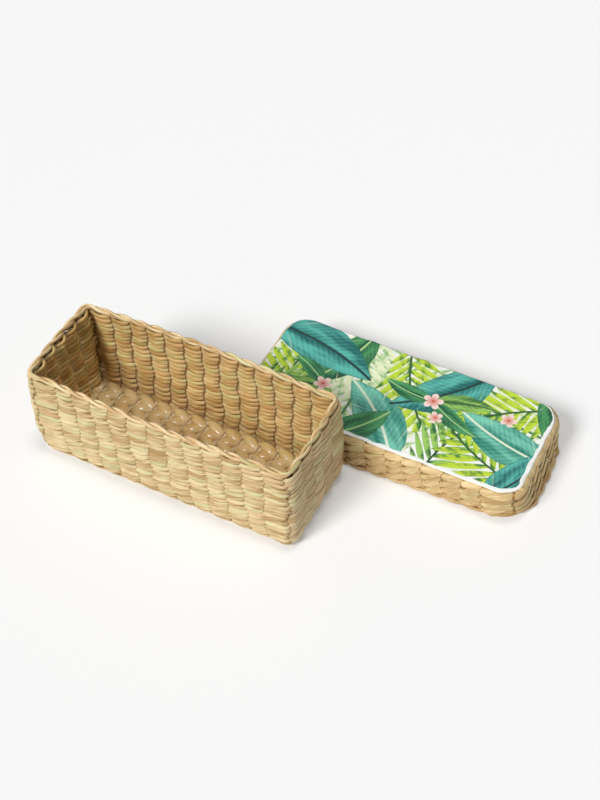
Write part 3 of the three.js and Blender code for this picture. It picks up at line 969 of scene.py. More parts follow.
@dataclass(frozen=True)
class WallLine:
    """The middle line round a tray's walls at one height, counted in stakes.

    Attributes:
        centre: Its middle.
        half_length: Half its length.
        half_width: Half its width.
        corner: Its corner radius.
        stakes: Places of the stakes along the long walls.
        strips: Places of the strips along the end walls.
        bow: How far the long walls bow out at their middle.
        end_bow: The same of the end walls.
        turn: How far the line is turned about its centre, in radians.
        tilt: How far the wall's outer side turns down, in radians.
        inset: How far the line lies inside the wall's own.
        waver: How far the row strays up and down.
        wander: How far the stakes stray along the wall, in stakes.
        corner_swell: How far the strands stand off the line halfway round a corner.
    """

    centre: Vector
    half_length: float
    half_width: float
    corner: float
    stakes: tuple[float, ...]
    strips: tuple[float, ...]
    bow: float
    end_bow: float
    turn: float
    tilt: float = 0.0
    inset: float = 0.0
    waver: float = 0.0004
    wander: float = 0.05
    corner_swell: float = 0.0014

    @property
    def turns(self) -> int:
        """The stakes that one round passes."""
        return 2 * (len(self.stakes) + len(self.strips))

    def bulge(self, spot: Vector, away: Vector) -> float:
        """Gives how far the wall bows out at a point of its plain line, whose way out is known."""
        long_share = abs(away.y) * self.bow * (1 - min(1.0, (spot.x / self.half_length) ** 2))
        return long_share + abs(away.x) * self.end_bow * (1 - min(1.0, (spot.y / self.half_width) ** 2))

    def find_wall(self, count: float) -> tuple[float, Bearing]:
        """Finds the wall that a count lies on, or whose far corner it lies on.

        Args:
            count: Stakes passed.

        Returns:
            The stakes passed on that wall, and the ways along it, out of it and up.
        """
        left = count % self.turns
        for number, along in enumerate(WALL_WAYS):
            held = len(self.strips if number % 2 else self.stakes)
            if left < held or number == len(WALL_WAYS) - 1:
                break
            left -= held
        return left, (along, WALL_WAYS[number - 1], UP)

    def plain(self, count: float) -> tuple[Vector, Vector]:
        """Gives the line as it would be without its bows and turn.

        Args:
            count: Stakes passed.

        Returns:
            The point and the way out there.
        """
        left, (along, out, _) = self.find_wall(count)
        walls = (self.stakes, self.half_length), (self.strips, self.half_width)
        (places, reach), (next_places, depth) = walls if along.x else walls[::-1]
        last = len(places) - 1
        if left <= last:
            index = min(int(left), last - 1)
            return along * between(places[index], places[index + 1], left - index) + out * depth, out
        lead = reach - self.corner - places[last]
        arc = self.corner * math.pi / 2
        follow = depth - self.corner + next_places[0]
        distance = (left - last) * (lead + arc + follow)
        if distance < lead:
            point, away = along * (places[last] + distance) + out * depth, out
        elif distance < lead + arc:
            angle = (distance - lead) / self.corner
            away = out * math.cos(angle) + along * math.sin(angle)
            point = along * (reach - self.corner) + out * (depth - self.corner) + away * self.corner
        else:
            past = distance - lead - arc
            point, away = along * reach + out * (depth - self.corner - past), along
        return point + away * (self.corner_swell * math.sin((left - last) * math.pi) ** 2), away

    def at(self, count: float) -> Bearing:
        """Gives the line at a count, with the way that its stakes stray and its row wavers.

        Args:
            count: Stakes passed.

        Returns:
            The point, the way out and the way up the wall there.
        """
        round_turn, level = math.tau * count / self.turns, self.centre.z
        lift = self.waver * waves(WAVER_WAVES, round_turn, level)
        point, away = self.plain(count + self.wander * waves(STRAY_WAVES, round_turn, level))
        point = point + away * (self.bulge(point, away) - self.inset) + UP * lift
        turned = Matrix.Rotation(self.turn, 3, "Z")
        away = turned @ away
        normal = away * math.cos(self.tilt) - UP * math.sin(self.tilt)
        rising = UP * math.cos(self.tilt) + away * math.sin(self.tilt)
        return self.centre + turned @ point, normal, rising


@dataclass(frozen=True)
class FloorLine:
    """The middle line of a floor row, which bends up into the end walls past its flat part.

    Attributes:
        stakes: Places of the stakes.
        across: The row's place across the floor.
        height: The height of its flat part.
        flat_ends: Where that part ends.
        turn_radius: The radius that it bends up with.
    """

    stakes: tuple[float, ...]
    across: float
    height: float
    flat_ends: tuple[float, float]
    turn_radius: float

    def at(self, count: float) -> Bearing:
        """Gives the line at a count.

        Args:
            count: Stakes passed.

        Returns:
            The point, the way down out of the tray and the way across the row.
        """
        place = self.stakes[0] + count * (self.stakes[1] - self.stakes[0])
        flat = max(self.flat_ends[0], min(self.flat_ends[1], place))
        angle = (place - flat) / self.turn_radius
        along = flat + self.turn_radius * math.sin(angle)
        rise = self.turn_radius * (1 - math.cos(angle))
        point = Vector((along, self.across, self.height + rise))
        return point, Vector((math.sin(angle), 0, -math.cos(angle))), -ACROSS


class Stretch(NamedTuple):
    """How a strand differs over one stake, as shares of its sizes, and its colour there."""

    taller: float
    thicker: float
    higher: float
    farther: float
    wider: float
    shade: float
    hue: float


class TwinedStrand:
    """One strand of a twined pair along a line, laid a little unevenly as a hand lays it."""

    # Stakes that one reed lasts, and how much reeds and their stretches differ in shade and hue.
    reed_stakes = (5, 12)
    reed_shade = (0.5, 0.1)
    shade_spread = 0.07
    hue_spread = 0.1
    # The largest difference, in spreads.
    limit = 2.2
    # The share of a step on both sides over which a strand's direction is taken.
    look_ahead = 0.25

    def __init__(self, line: WallLine | FloorLine, weave: Twining, strand: int, draws: random.Random) -> None:
        """Keeps what the strand is made from.

        Args:
            line: The row's middle line.
            weave: How the pair is twined.
            strand: 0 or 1, or one more to start from the other side.
            draws: The source of chance.
        """
        self.line = line
        self.weave = weave
        self.strand = strand
        self.draws = draws
        self.stretches: dict[int, Stretch] = {}
        self.reed_left = 0
        self.reed_mark = (0.0, 0.0)

    def stretch(self, index: int) -> Stretch:
        """Gives how the strand differs over one stake.

        Args:
            index: The stake's number.

        Returns:
            The stretch, drawn when it is first asked for.
        """
        if index not in self.stretches:
            if self.reed_left <= 0:
                self.reed_left = self.draws.randint(*self.reed_stakes)
                self.reed_mark = (self.draws.gauss(*self.reed_shade), self.draws.random())
            self.reed_left -= 1
            uneven = [self.draws.gauss(0, self.weave.unevenness) for _ in range(5)]
            limit = self.limit * self.weave.unevenness
            sizes = [max(-limit, min(limit, value)) for value in uneven]
            shade = self.reed_mark[0] + self.draws.gauss(0, self.shade_spread)
            hue = self.reed_mark[1] + self.draws.gauss(0, self.hue_spread)
            self.stretches[index] = Stretch(*sizes, shade, hue)
        return self.stretches[index]

    def blended(self, count: float, turns: int) -> Stretch:
        """Gives how the strand differs at a count.

        Args:
            count: Stakes passed.
            turns: The stakes after which the line comes back to its start.

        Returns:
            The sizes, eased from stretch to stretch, with the nearest colour.
        """
        lower = math.floor(count)
        share = smooth_share(count - lower)
        low, high = self.stretch(lower % turns), self.stretch((lower + 1) % turns)
        nearest = low if share < 0.5 else high
        mixed = Stretch(*(between(a, b, share) for a, b in zip(low, high)))
        return mixed._replace(shade=nearest.shade, hue=nearest.hue)

    def centre(self, count: float, turns: int) -> tuple[Vector, Vector]:
        """Gives the strand's middle at a count.

        Args:
            count: Stakes passed.
            turns: The stakes after which the line comes back to its start.

        Returns:
            The point and the way up the wall there.
        """
        point, out, up = self.line.at(count)
        here = self.blended(count, turns)
        angle = math.pi * (count - self.strand)
        swing = self.weave.swing * between(1.0, self.weave.end_swing, abs(out.x))
        swing *= self.weave.swung(angle) * self.weave.inside(self.weave.inner, angle) * (1 + here.farther / 2)
        rise = self.weave.slant.value * self.weave.rise * math.sin(angle) * (1 + here.wider)
        return point + out * swing + up * (rise + self.weave.heights[0] * here.higher / 2), up

    def stops(self, start: float, end: float, turns: int) -> list[Stop]:
        """Gives the strand's stops from one count to another.

        Args:
            start: The count that it starts at.
            end: The count that it ends at.
            turns: The stakes after which the line comes back to its start.

        Returns:
            The stops, of which the last lies on the first where the strand goes right round.
        """
        reach = self.look_ahead / self.weave.steps
        made: list[Stop] = []
        along, last = 0.0, None
        for step in range(round((end - start) * self.weave.steps) + 1):
            count = start + step / self.weave.steps
            point, up = self.centre(count, turns)
            ahead = self.centre(count + reach, turns)[0] - self.centre(count - reach, turns)[0]
            forward = ahead.normalized()
            across = (up - forward * up.dot(forward)).normalized()
            here = self.blended(count, turns)
            angle = math.pi * (count - self.strand)
            half_height, half_depth = self.weave.section(angle)
            half_height *= (1 + here.taller) * self.weave.inside(self.weave.slimness, angle)
            half_depth *= (1 + here.thicker) * self.weave.inside(self.weave.inner, angle)
            swung = 1.0 if self.weave.is_bare else self.weave.swung(angle)
            along = along + (point - last).length if last else PATTERN_REACH * here.hue
            last = point
            bearing = (across, forward.cross(across), forward)
            mark = Vector((here.shade, here.hue, swung))
            made.append(Stop.laid(point, bearing, half_height, half_depth, along, mark))
        return made


@dataclass(frozen=True)
class TrayFinishes:
    """The materials of a tray's rows, rim, stakes and floor."""

    weave: bpy.types.Material
    border: bpy.types.Material
    stakes: bpy.types.Material
    floor: bpy.types.Material


@dataclass
class WovenTray:
    """A woven tray, with its floor down in its own coordinates.

    Attributes:
        finishes: Its materials.
        name: The body's name, which its nodes' names start with.
        seed: Where its chance draws start.
        row: How its rows are twined.
        edge: How the row round its bottom turn is twined.
        border: How its rim is twisted.
        foot_corner: Radius of its walls' middle line at the foot's corners.
        rim_corner: The same at the rim.
        border_thickness: From the rim's outside to its inside.
        row_count: How many twined rows its walls have, shared among the solids at their heights.
        bows: How far its long walls bow out at the foot and at the rim.
        end_bows: The same of its end walls.
        left_gains: How much farther out its left end stands than the solid, at the foot and at the rim.
        right_gains: The same of its right end.
        turns: How far it is turned at the foot and at the rim, in degrees.
        floor: How its floor rows are twined.
        wall_thickness: From the outermost strand to the innermost.
        stake_width: Width of a stake.
        stake_thickness: Its thickness.
        turn_radius: Radius of the stakes' middle line from floor to wall.
        floor_rise: How far the floor rows go up round that turn, in radii.
    """

    finishes: TrayFinishes
    name: str
    seed: int
    row: Twining
    edge: Twining
    border: Twining
    foot_corner: float
    rim_corner: float
    border_thickness: float
    row_count: int
    bows: tuple[float, float] = (0.0, 0.0)
    end_bows: tuple[float, float] = (0.0, 0.0)
    left_gains: tuple[float, float] = (0.0, 0.0)
    right_gains: tuple[float, float] = (0.0, 0.0)
    turns: tuple[float, float] = (0.0, 0.0)
    floor: Twining = FLOOR_ROW
    wall_thickness: float = 0.0064
    stake_width: float = 0.010
    stake_thickness: float = 0.0018
    turn_radius: float = 0.0055
    floor_rise: float = 1.1

    # Steps round the turn from floor to wall, and how far out a flat reed counts as standing.
    turn_steps: ClassVar[int] = 4
    flat_reed_swung: ClassVar[float] = 0.2
    flat_reed_sides: ClassVar[int] = 10
    # Mean and spread of a flat reed's shade.
    flat_reed_shade: ClassVar[tuple[float, float]] = (0.45, 0.12)
    # More stakes than a floor row passes, because it never comes back to its start.
    open_turns: ClassVar[int] = 1000
    # How far apart the chance draws of two trays start.
    seed_stride: ClassVar[int] = 1000

    def __post_init__(self) -> None:
        """Reads the tray's levels and reed places from the frame."""
        self.placement = self.find_placement()
        self.stakes = self.places("_stake_", lambda low, high: high.x - self.stake_width / 2)
        self.strips = self.places("_floor_strip_", lambda low, high: (low.y + high.y) / 2)
        self.floor_height = self.own_box(self.name + "_stake_01")[0].z + self.stake_thickness / 2
        self.turn_top = self.floor_height + self.turn_radius
        self.rim_top = self.own_box(self.name + "_border_outer")[1].z
        self.lines = [self.line(node, self.wall_thickness) for node in self.nodes("_course_")]

    def find_placement(self) -> Matrix:
        """Gives the turn from the tray's own coordinates into the object's: none for a tray that stands."""
        return Matrix.Identity(4)

    def nodes(self, part: str) -> list[str]:
        """Gives the names of the tray's nodes of one kind, in order."""
        return sorted(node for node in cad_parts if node.startswith(self.name + part))

    def own_box(self, node: str) -> tuple[Vector, Vector]:
        """Gives a node's box in the tray's own coordinates.

        Args:
            node: The node's name.

        Returns:
            The box's lowest and highest corners.
        """
        back = self.placement.inverted()
        corners = [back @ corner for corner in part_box(node)]
        return Vector(map(min, *corners)), Vector(map(max, *corners))

    def places(self, part: str, middle_of: Callable[[Vector, Vector], float]) -> tuple[float, ...]:
        """Gives even places for the reeds of one kind, from the two outermost.

        Args:
            part: What the names of their nodes go on with.
            middle_of: Gives a reed's place from the corners of its box.

        Returns:
            The places, in order.
        """
        middles = sorted(middle_of(*self.own_box(node)) for node in self.nodes(part))
        last = len(middles) - 1
        return tuple(between(middles[0], middles[-1], i / last) for i in range(last + 1))

    def line(self, node: str, outside: float, tilt: float = 0.0, inset: float = 0.0) -> WallLine:
        """Gives the middle line of the wall at a node's height.

        Args:
            node: A node that goes right round.
            outside: How much larger the node is than the line, both ways together.
            tilt: How far the wall's outer side turns down there.
            inset: How far the line lies inside the wall's own.

        Returns:
            The line.
        """
        low, high = self.own_box(node)
        middle, half = (low + high) / 2, (high - low) / 2
        share = max(0.0, (middle.z - self.turn_top) / (self.rim_top - self.turn_top))
        left, right = between(*self.left_gains, share), between(*self.right_gains, share)
        return WallLine(
            centre=middle + Vector(((right - left) / 2, 0, 0)),
            half_length=half.x - outside / 2 + (left + right) / 2,
            half_width=half.y - outside / 2,
            corner=between(self.foot_corner, self.rim_corner, share),
            stakes=tuple(stake - (right - left) / 2 for stake in self.stakes),
            strips=self.strips,
            bow=between(*self.bows, share),
            end_bow=between(*self.end_bows, share),
            turn=math.radians(between(*self.turns, share)),
            tilt=tilt,
            inset=inset,
        )

    def line_at(self, height: float) -> WallLine:
        """Gives the wall's middle line at any height, from those of the two solids next to it.

        Args:
            height: The height.

        Returns:
            The line.
        """
        step = self.lines[1].centre.z - self.lines[0].centre.z
        index = max(0, min(len(self.lines) - 2, int((height - self.lines[0].centre.z) / step)))
        under, over = self.lines[index], self.lines[index + 1]
        share = (height - under.centre.z) / step
        mixed = {
            key: between(getattr(under, key), getattr(over, key), share)
            for key in ("centre", "half_length", "half_width", "corner", "bow", "end_bow", "turn")
        }
        stakes = tuple(between(a, b, share) for a, b in zip(under.stakes, over.stakes))
        return replace(under, stakes=stakes, **mixed)

    def draws(self, kind: Draws, number: int = 0) -> random.Random:
        """Gives a seeded source of chance for one piece."""
        return random.Random(self.seed * self.seed_stride + kind.value + number)

    def finish(self, mesh: ReedMesh, name: str, node: str, slot: str, finish: bpy.types.Material) -> None:
        """Turns a mesh from the tray's coordinates to the object's and makes a piece of it.

        Args:
            mesh: The reeds.
            name: The piece's name after the tray's.
            node: The solid that it stands for.
            slot: A material slot name after the tray's name; not used.
            finish: Its material.
        """
        bmesh.ops.transform(mesh.bm, matrix=self.placement, verts=mesh.bm.verts[:])
        made = smooth_mesh_of(mesh.bm, f"{self.name}_{name}")
        place_piece(made, self.name, [node], finish)

    def wind(self, mesh: ReedMesh, line: WallLine, weave: Twining, strand: int, draws: random.Random) -> None:
        """Winds one strand right round a line, from halfway between two stakes.

        Args:
            mesh: The mesh that it goes into.
            line: The row's middle line.
            weave: How the pair is twined.
            strand: 0 or 1, or one more to start from the other side.
            draws: The source of chance.
        """
        stops = TwinedStrand(line, weave, strand, draws).stops(-0.5, line.turns - 0.5, line.turns)
        mesh.sweep(stops, weave.sides, True)

    def dress_rows(self) -> None:
        """Makes the twined rows of the walls, each in the piece of the solid at its height."""
        courses = self.nodes("_course_")
        first = self.lines[0].centre.z
        step = self.lines[1].centre.z - first
        pitch = step * len(courses) / self.row_count
        meshes = [ReedMesh() for _ in courses]
        for number in range(self.row_count):
            height = first - step / 2 + (number + 0.5) * pitch
            line = self.line_at(height)
            draws = self.draws(Draws.ROWS, number)
            index = min(len(courses) - 1, int((height - first) / step + 0.5))
            for strand in range(2):
                self.wind(meshes[index], line, self.row, strand + number % 2, draws)
        for number, (node, mesh) in enumerate(zip(courses, meshes)):
            self.finish(mesh, f"twined_row_{number + 1:02d}", node, "weave", self.finishes.weave)

    def dress_border(self) -> None:
        """Makes the two twisted strands of the rim, a piece each."""
        draws = self.draws(Draws.BORDER)
        for strand, part in enumerate(("outer", "inner")):
            node = f"{self.name}_border_{part}"
            line = replace(self.line(node, self.border_thickness), waver=0.0)
            mesh = ReedMesh()
            self.wind(mesh, line, self.border, strand, draws)
            self.finish(mesh, f"rim_strand_{part}", node, "border", self.finishes.border)

    def dress_edge(self) -> None:
        """Makes the row that holds the reeds in at the bottom turn."""
        node = self.name + "_edge_strand"
        tilt = math.pi / 4
        bend = self.turn_radius * (1 - math.cos(tilt))
        line = self.line(node, self.wall_thickness, tilt, bend)
        centre = Vector((line.centre.x, line.centre.y, self.floor_height + bend))
        line = replace(line, centre=centre, waver=0.0)
        mesh = ReedMesh()
        draws = self.draws(Draws.EDGE)
        for strand in range(2):
            self.wind(mesh, line, self.edge, strand + 1, draws)
        self.finish(mesh, "edge_row", node, "weave", self.finishes.weave)

    def lay_flat_reed(self, mesh: ReedMesh, path: list[tuple[Vector, Vector]], draws: random.Random) -> None:
        """Sweeps a flat reed along a path.

        Args:
            mesh: The mesh that it goes into.
            path: Points with the way out of the tray at each.
            draws: The source of chance for its shade.
        """
        shade, hue = draws.gauss(*self.flat_reed_shade), draws.random()
        mark = Vector((shade, hue, self.flat_reed_swung))
        halves = (self.stake_width / 2, self.stake_thickness / 2)
        stops: list[Stop] = []
        along = 0.0
        for i, (point, out) in enumerate(path):
            before = path[max(i - 1, 0)][0]
            forward = (path[min(i + 1, len(path) - 1)][0] - before).normalized()
            depth = (out - forward * out.dot(forward)).normalized()
            along += (point - before).length
            bearing = (depth.cross(forward), depth, forward)
            stops.append(Stop.laid(point, bearing, *halves, along, mark))
        mesh.sweep(stops, self.flat_reed_sides, False)

    def down_wall(
        self, side: Vector, place: float, depth_of: Callable[[WallLine], float]
    ) -> list[tuple[Vector, Vector]]:
        """Gives a reed's path from the rim down a wall and round the turn.

        Args:
            side: The way out of the tray there.
            place: Where the reed stands along the wall.
            depth_of: Gives how far a line's wall lies from its middle.

        Returns:
            Points with the way out of the tray at each.
        """
        spot_along = Vector((abs(side.y), abs(side.x), 0)) * place
        path = []
        for line in reversed(self.lines):
            spot = spot_along + side * depth_of(line)
            spot = Matrix.Rotation(line.turn, 3, "Z") @ (spot + side * line.bulge(spot, side))
            path.append((line.centre + spot, side))
        foot = self.lines[0]
        base = Vector((foot.centre.x, foot.centre.y, self.turn_top)) + spot_along
        hub = base + side * (depth_of(foot) + foot.bulge(spot_along, side) - self.turn_radius)
        for step in range(self.turn_steps + 1):
            angle = step / self.turn_steps * math.pi / 2
            out = side * math.cos(angle) - UP * math.sin(angle)
            path.append((hub + out * self.turn_radius, out))
        return path

    def dress_stakes(self) -> None:
        """Makes the stakes, which run up a long wall, across the floor and up the other."""
        for number, (node, place) in enumerate(zip(self.nodes("_stake_"), self.stakes)):
            front = self.down_wall(-ACROSS, place, lambda line: line.half_width)
            back = self.down_wall(ACROSS, place, lambda line: line.half_width)
            mesh = ReedMesh()
            self.lay_flat_reed(mesh, front + back[::-1], self.draws(Draws.STAKES, number))
            self.finish(mesh, f"stake_reed_{number + 1:02d}", node, "stakes", self.finishes.stakes)

    def dress_floor(self) -> None:
        """Makes the floor: two rows twined against each other for each strip, and its end stakes."""
        pitch = self.strips[1] - self.strips[0]
        spacing = self.stakes[1] - self.stakes[0]
        foot = self.lines[0]
        reach = foot.half_length - self.turn_radius
        flat_ends = (foot.centre.x - reach, foot.centre.x + reach)
        turned = self.turn_radius * self.floor_rise
        start = (flat_ends[0] - turned - self.stakes[0]) / spacing
        end = (flat_ends[1] + turned - self.stakes[0]) / spacing
        for number, (node, place) in enumerate(zip(self.nodes("_floor_strip_"), self.strips)):
            draws = self.draws(Draws.FLOOR, number)
            mesh = ReedMesh()
            for half, slant in enumerate(Slant):
                weave = replace(self.floor, slant=slant)
                across = place + (half - 0.5) * pitch / 2
                line = FloorLine(self.stakes, across, self.floor_height, flat_ends, self.turn_radius)
                for strand in range(2):
                    twined = TwinedStrand(line, weave, strand + half, draws)
                    mesh.sweep(twined.stops(start, end, self.open_turns), weave.sides, False)
            for side in (-ALONG, ALONG):
                self.lay_flat_reed(mesh, self.down_wall(side, place, lambda line: line.half_length), draws)
            self.finish(mesh, f"floor_rows_{number + 1:02d}", node, "floor", self.finishes.floor)

    def dress(self) -> None:
        """Makes all the tray's pieces."""
        self.dress_stakes()
        self.dress_floor()
        self.dress_edge()
        self.dress_rows()
        self.dress_border()


@dataclass
class Box(WovenTray):
    """The open box, whose long walls bow out and whose left end leans in to its rim."""

    name: str = "box"
    seed: int = 1
    row: Twining = BOX_ROW
    edge: Twining = BOX_EDGE
    border: Twining = BOX_BORDER
    foot_corner: float = 0.0098
    rim_corner: float = 0.0058
    border_thickness: float = 0.0070
    row_count: int = 17
    bows: tuple[float, float] = (0.0005, 0.0048)
    end_bows: tuple[float, float] = (0.0, 0.0022)
    left_gains: tuple[float, float] = (0.0085, 0.0020)


@dataclass
class Lid(WovenTray):
    """The cap lid, a wide low tray that lies turned over, with a slightly crooked rim."""

    name: str = "lid"
    seed: int = 2
    row: Twining = LID_ROW
    edge: Twining = LID_EDGE
    border: Twining = LID_BORDER
    foot_corner: float = 0.0248
    rim_corner: float = 0.0430
    border_thickness: float = 0.0064
    row_count: int = 3
    end_bows: tuple[float, float] = (0.0, 0.0060)
    right_gains: tuple[float, float] = (0.0010, 0.0050)
    turns: tuple[float, float] = (0.0, -2.4)

    def find_placement(self) -> Matrix:
        """Turns the tray over, with its middle under the sheet's.

        Returns:
            The turn, which puts the tray's floor at the top of its edge strand.
        """
        low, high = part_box("lid_printed_sheet")
        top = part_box("lid_edge_strand")[1].z
        spot = Vector(((low.x + high.x) / 2, (low.y + high.y) / 2, top))
        return Matrix.Translation(spot) @ Matrix.Rotation(math.pi, 4, "X")


@dataclass
class PrintedSheet:
    """The printed cloth that is glued to the lid.

    Attributes:
        node: Its solid.
        finish: How it is printed.
        corner: Its corner radius.
        thickness: The cloth's thickness.
        steps: Cells along its length and width.
        fold_reach: How far in from the edge its folds fade, as a distance over which they fall to a third.
        turned_down: How far its edge bends down over the weave.
        crinkle: How far its edge waves up and down.
        creases: Radians per metre of those waves, two along the length and one across.
        fray: How far its edge goes in and out.
        frays: Radians per metre of that, two along the length and one across.
        sink: How far the cloth sinks into the weave on average.
        swell: How far the weave under it swells it.
        swells: Radians per metre of that, along the length and across.
        print_margin: White left at the near side and the right end.
        margin_slope: How fast that margin grows towards them.
    """

    node: str = "lid_printed_sheet"
    finish: PrintFinish = PrintFinish()
    corner: float = 0.023
    thickness: float = 0.0004
    steps: tuple[int, int] = (190, 84)
    fold_reach: float = 0.004
    turned_down: float = 0.0004
    crinkle: float = 0.0006
    creases: tuple[float, float, float] = (310.0, 47.0, 270.0)
    fray: float = 0.0011
    frays: tuple[float, float, float] = (190.0, 83.0, 220.0)
    sink: float = 0.0002
    swell: float = 0.00012
    swells: tuple[float, float] = (150.0, 330.0)
    print_margin: float = 0.0042
    margin_slope: float = 1.6

    def dress(self, groups: Groups) -> None:
        """Makes the sheet.

        Args:
            groups: The shared node groups.
        """
        low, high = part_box(self.node)
        middle, size = (low + high) / 2, high - low
        bm = bmesh.new()
        margin = bm.verts.layers.float_vector.new("print")
        flat = Matrix.Translation((middle.x, middle.y, high.z - self.thickness))
        flat = flat @ Matrix.Diagonal((size.x / 2, size.y / 2, 1.0, 1.0))
        bmesh.ops.create_grid(bm, x_segments=self.steps[0], y_segments=self.steps[1], size=1.0, matrix=flat)
        for vert in bm.verts:
            spot = Vector((vert.co.x - middle.x, vert.co.y - middle.y))
            spot, edge = self.rounded(spot, size.x / 2, size.y / 2)
            spot, lift = self.folded(spot, edge)
            vert.co.x, vert.co.y = middle.x + spot.x, middle.y + spot.y
            vert.co.z += lift
            near = max(0.0, min(1.0, 0.5 + (spot.x / size.x - spot.y / size.y) * self.margin_slope))
            vert[margin] = (edge - self.print_margin * near, 0.0, 0.0)
        mesh = smooth_mesh_of(bm, "leaf_print_cloth")
        finish = self.finish.material(groups, middle, size)
        piece = place_piece(mesh, "lid", [self.node], finish)
        solid = piece.modifiers.new("cloth_thickness", "SOLIDIFY")
        solid.thickness = self.thickness
        solid.offset = -1.0
        rounds = (4 - math.pi) * self.corner**2
        size.x * size.y - rounds

    def folded(self, spot: Vector, edge: float) -> tuple[Vector, float]:
        """Frays and folds the cloth at a point.

        Args:
            spot: The point, from the middle.
            edge: Its distance from the edge.

        Returns:
            The frayed point and how far it lies above the flat cloth.
        """
        fold = math.exp(-edge / self.fold_reach)
        fast, slow, cross = self.creases
        creased = math.sin(spot.x * fast) * math.sin(spot.x * slow + 1) + math.sin(spot.y * cross + 2)
        drop = min(0.0, self.crinkle * fold * creased / 2 - self.turned_down * fold**2)
        fast, slow, cross = self.frays
        frayed = math.sin(spot.x * fast + 1) + math.sin(spot.x * slow) + math.sin(spot.y * cross)
        spot = spot + spot.normalized() * (self.fray * fold * frayed / 3)
        swelled = self.swell * math.sin(spot.x * self.swells[0]) * math.sin(spot.y * self.swells[1])
        return spot, drop + swelled - self.sink

    def rounded(self, spot: Vector, half_length: float, half_width: float) -> tuple[Vector, float]:
        """Moves a point of a rectangle into one with round corners.

        Args:
            spot: The point, from the middle.
            half_length: Half the rectangle's length.
            half_width: Half its width.

        Returns:
            The moved point and its distance from the edge.
        """
        inner = Vector((half_length - self.corner, half_width - self.corner))
        over = Vector((max(0.0, abs(spot.x) - inner.x), max(0.0, abs(spot.y) - inner.y)))
        edge = min(half_length - abs(spot.x), half_width - abs(spot.y))
        if over.x > 0 and over.y > 0:
            moved = over * (max(over) / over.length)
            edge = self.corner - moved.length
            turned = inner + moved
            spot = Vector((math.copysign(turned.x, spot.x), math.copysign(turned.y, spot.y)))
        return spot, max(0.0, edge)


@dataclass(frozen=True)
class Lamp:
    """A lamp of the studio.

    Attributes:
        name: Its name.
        kind: What it is.
        place: Where it stands.
        breadth: The side of a softbox in metres, or the angle that an even light fills.
        power: Its power in watts, or in watts per square metre for an even light.
    """

    name: str
    kind: LampKind
    place: tuple[float, float, float]
    breadth: float
    power: float

    def hang(self, aim: Vector) -> None:
        """Hangs the lamp so that it faces a point.

        Args:
            aim: The point.
        """
        light = bpy.data.lights.new(self.name, self.kind.value)
        setattr(light, "angle" if self.kind is LampKind.EVEN else "size", self.breadth)
        light.energy = self.power
        stand(link(self.name, light), Vector(self.place), aim)


def stand(thing: bpy.types.Object, place: Vector, aim: Vector) -> None:
    """Stands a lamp or a camera at a place, facing a point."""
    thing.location = place
    thing.rotation_euler = (aim - place).to_track_quat("-Z", "Y").to_euler()


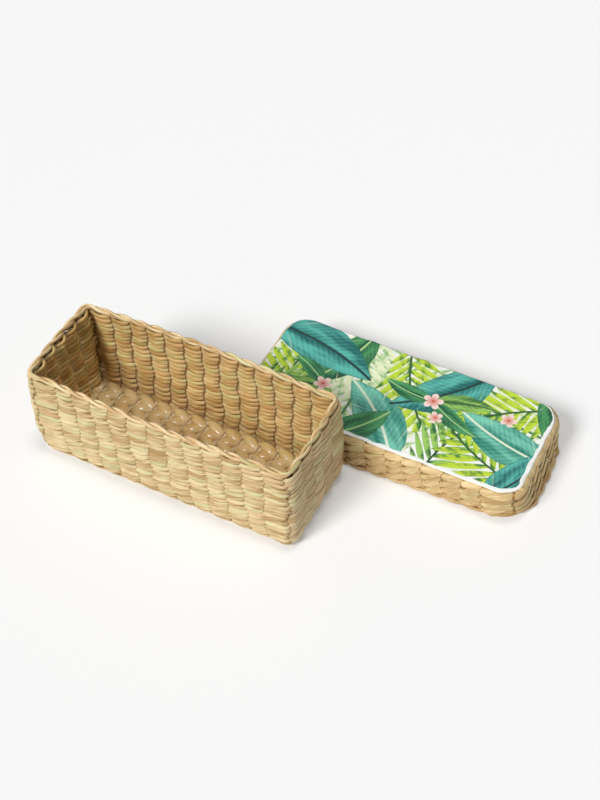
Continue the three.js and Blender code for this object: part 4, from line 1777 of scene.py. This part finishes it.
@dataclass
class Studio:
    """The pale floor, the soft light and the camera.

    Attributes:
        aim: The point that the camera looks at.
        eye: Where the camera stands.
        lens: Its focal length in millimetres.
        sensor: The width of its picture in millimetres.
        floor_size: Side of the floor.
        floor_colour: Its colour.
        floor_roughness: Its roughness.
        glow_colour: What the camera sees the floor drawn towards.
        glow_share: How far.
        surround_light: Strength of the surround as it lights the object.
        surround_seen: Its strength as the camera sees it.
        lamps: Its lamps.
    """

    aim: tuple[float, float, float] = (0.0614, 0.1306, 0.0)
    eye: tuple[float, float, float] = (0.5411, -0.8166, 1.1934)
    lens: float = 63.73
    sensor: float = 36.0
    floor_size: float = 8.0
    floor_colour: str = "F4F4F4"
    floor_roughness: float = 0.9
    glow_colour: str = "FDFDFD"
    glow_share: float = 0.2
    surround_light: float = 0.22
    surround_seen: float = 0.95
    lamps: tuple[Lamp, ...] = (
        Lamp("key_light", LampKind.EVEN, (-2.3, -6.1, 5.8), 0.34, 2.55),
        Lamp("front_fill", LampKind.SOFTBOX, (0.9, -8.0, 1.8), 3.2, 12.0),
        Lamp("top_softbox", LampKind.SOFTBOX, (0.15, 0.2, 5.2), 1.2, 74.0),
    )

    def dress(self) -> None:
        """Builds the floor, the light and the camera."""
        self.floor()
        self.sky()
        for lamp in self.lamps:
            lamp.hang(Vector(self.aim))
        self.camera()

    def floor(self) -> None:
        """Lays a pale floor that shows near white and keeps the object's shadow."""
        bm = bmesh.new()
        bmesh.ops.create_grid(bm, x_segments=1, y_segments=1, size=self.floor_size / 2)
        mesh = mesh_of(bm, "pale_floor")
        link("pale_floor", mesh)
        material, nodes, surface = new_material("pale_floor")
        nodes.feed(surface, {"Base Color": ink(self.floor_colour), "Roughness": self.floor_roughness})
        glow = nodes.add("Emission", {"Color": ink(self.glow_colour)})
        path = nodes.add("LightPath", {})
        share = nodes.math("MULTIPLY", path.outputs["Is Camera Ray"], self.glow_share)
        blend = nodes.value("MixShader", {0: share, 1: surface.outputs[0], 2: glow.outputs[0]})
        nodes.feed(material.node_tree.nodes["Material Output"], {0: blend})
        mesh.materials.append(material)

    def sky(self) -> None:
        """Lights the scene softly from all round, behind a white background."""
        world = bpy.data.worlds.new("white_surround")
        bpy.context.scene.world = world
        world.use_nodes = True
        nodes = Nodes(world.node_tree)
        path = nodes.add("LightPath", {})
        seen = nodes.math("MAXIMUM", path.outputs["Is Camera Ray"], path.outputs["Is Transmission Ray"])
        strength = nodes.span(seen, 0.0, 1.0, self.surround_light, self.surround_seen)
        nodes.feed(world.node_tree.nodes["Background"], {"Color": ink("FFFFFF"), "Strength": strength})

    def camera(self) -> None:
        """Sets the camera at the photograph's viewing angle."""
        data = bpy.data.cameras.new("view")
        data.lens = self.lens
        data.sensor_width = self.sensor
        camera = link("view", data)
        stand(camera, Vector(self.eye), Vector(self.aim))
        bpy.context.scene.camera = camera
        bpy.context.scene.view_settings.view_transform = "Standard"


def main() -> None:
    """Builds the studio and dresses both trays and the lid's sheet."""
    logging.basicConfig(level=logging.INFO, format="%(name)s: %(message)s")
    Studio().dress()
    groups = Groups()
    finishes = (STRAW_REED, RIM_REED, STAKE_REED, VARNISHED_REED, GOLDEN_REED)
    straw, rim, stake, varnished, golden = (finish.material(groups) for finish in finishes)
    Box(TrayFinishes(weave=straw, border=rim, stakes=stake, floor=varnished)).dress()
    Lid(TrayFinishes(weave=golden, border=golden, stakes=stake, floor=golden)).dress()
    PrintedSheet().dress(groups)


if __name__ == "__main__":
    main()
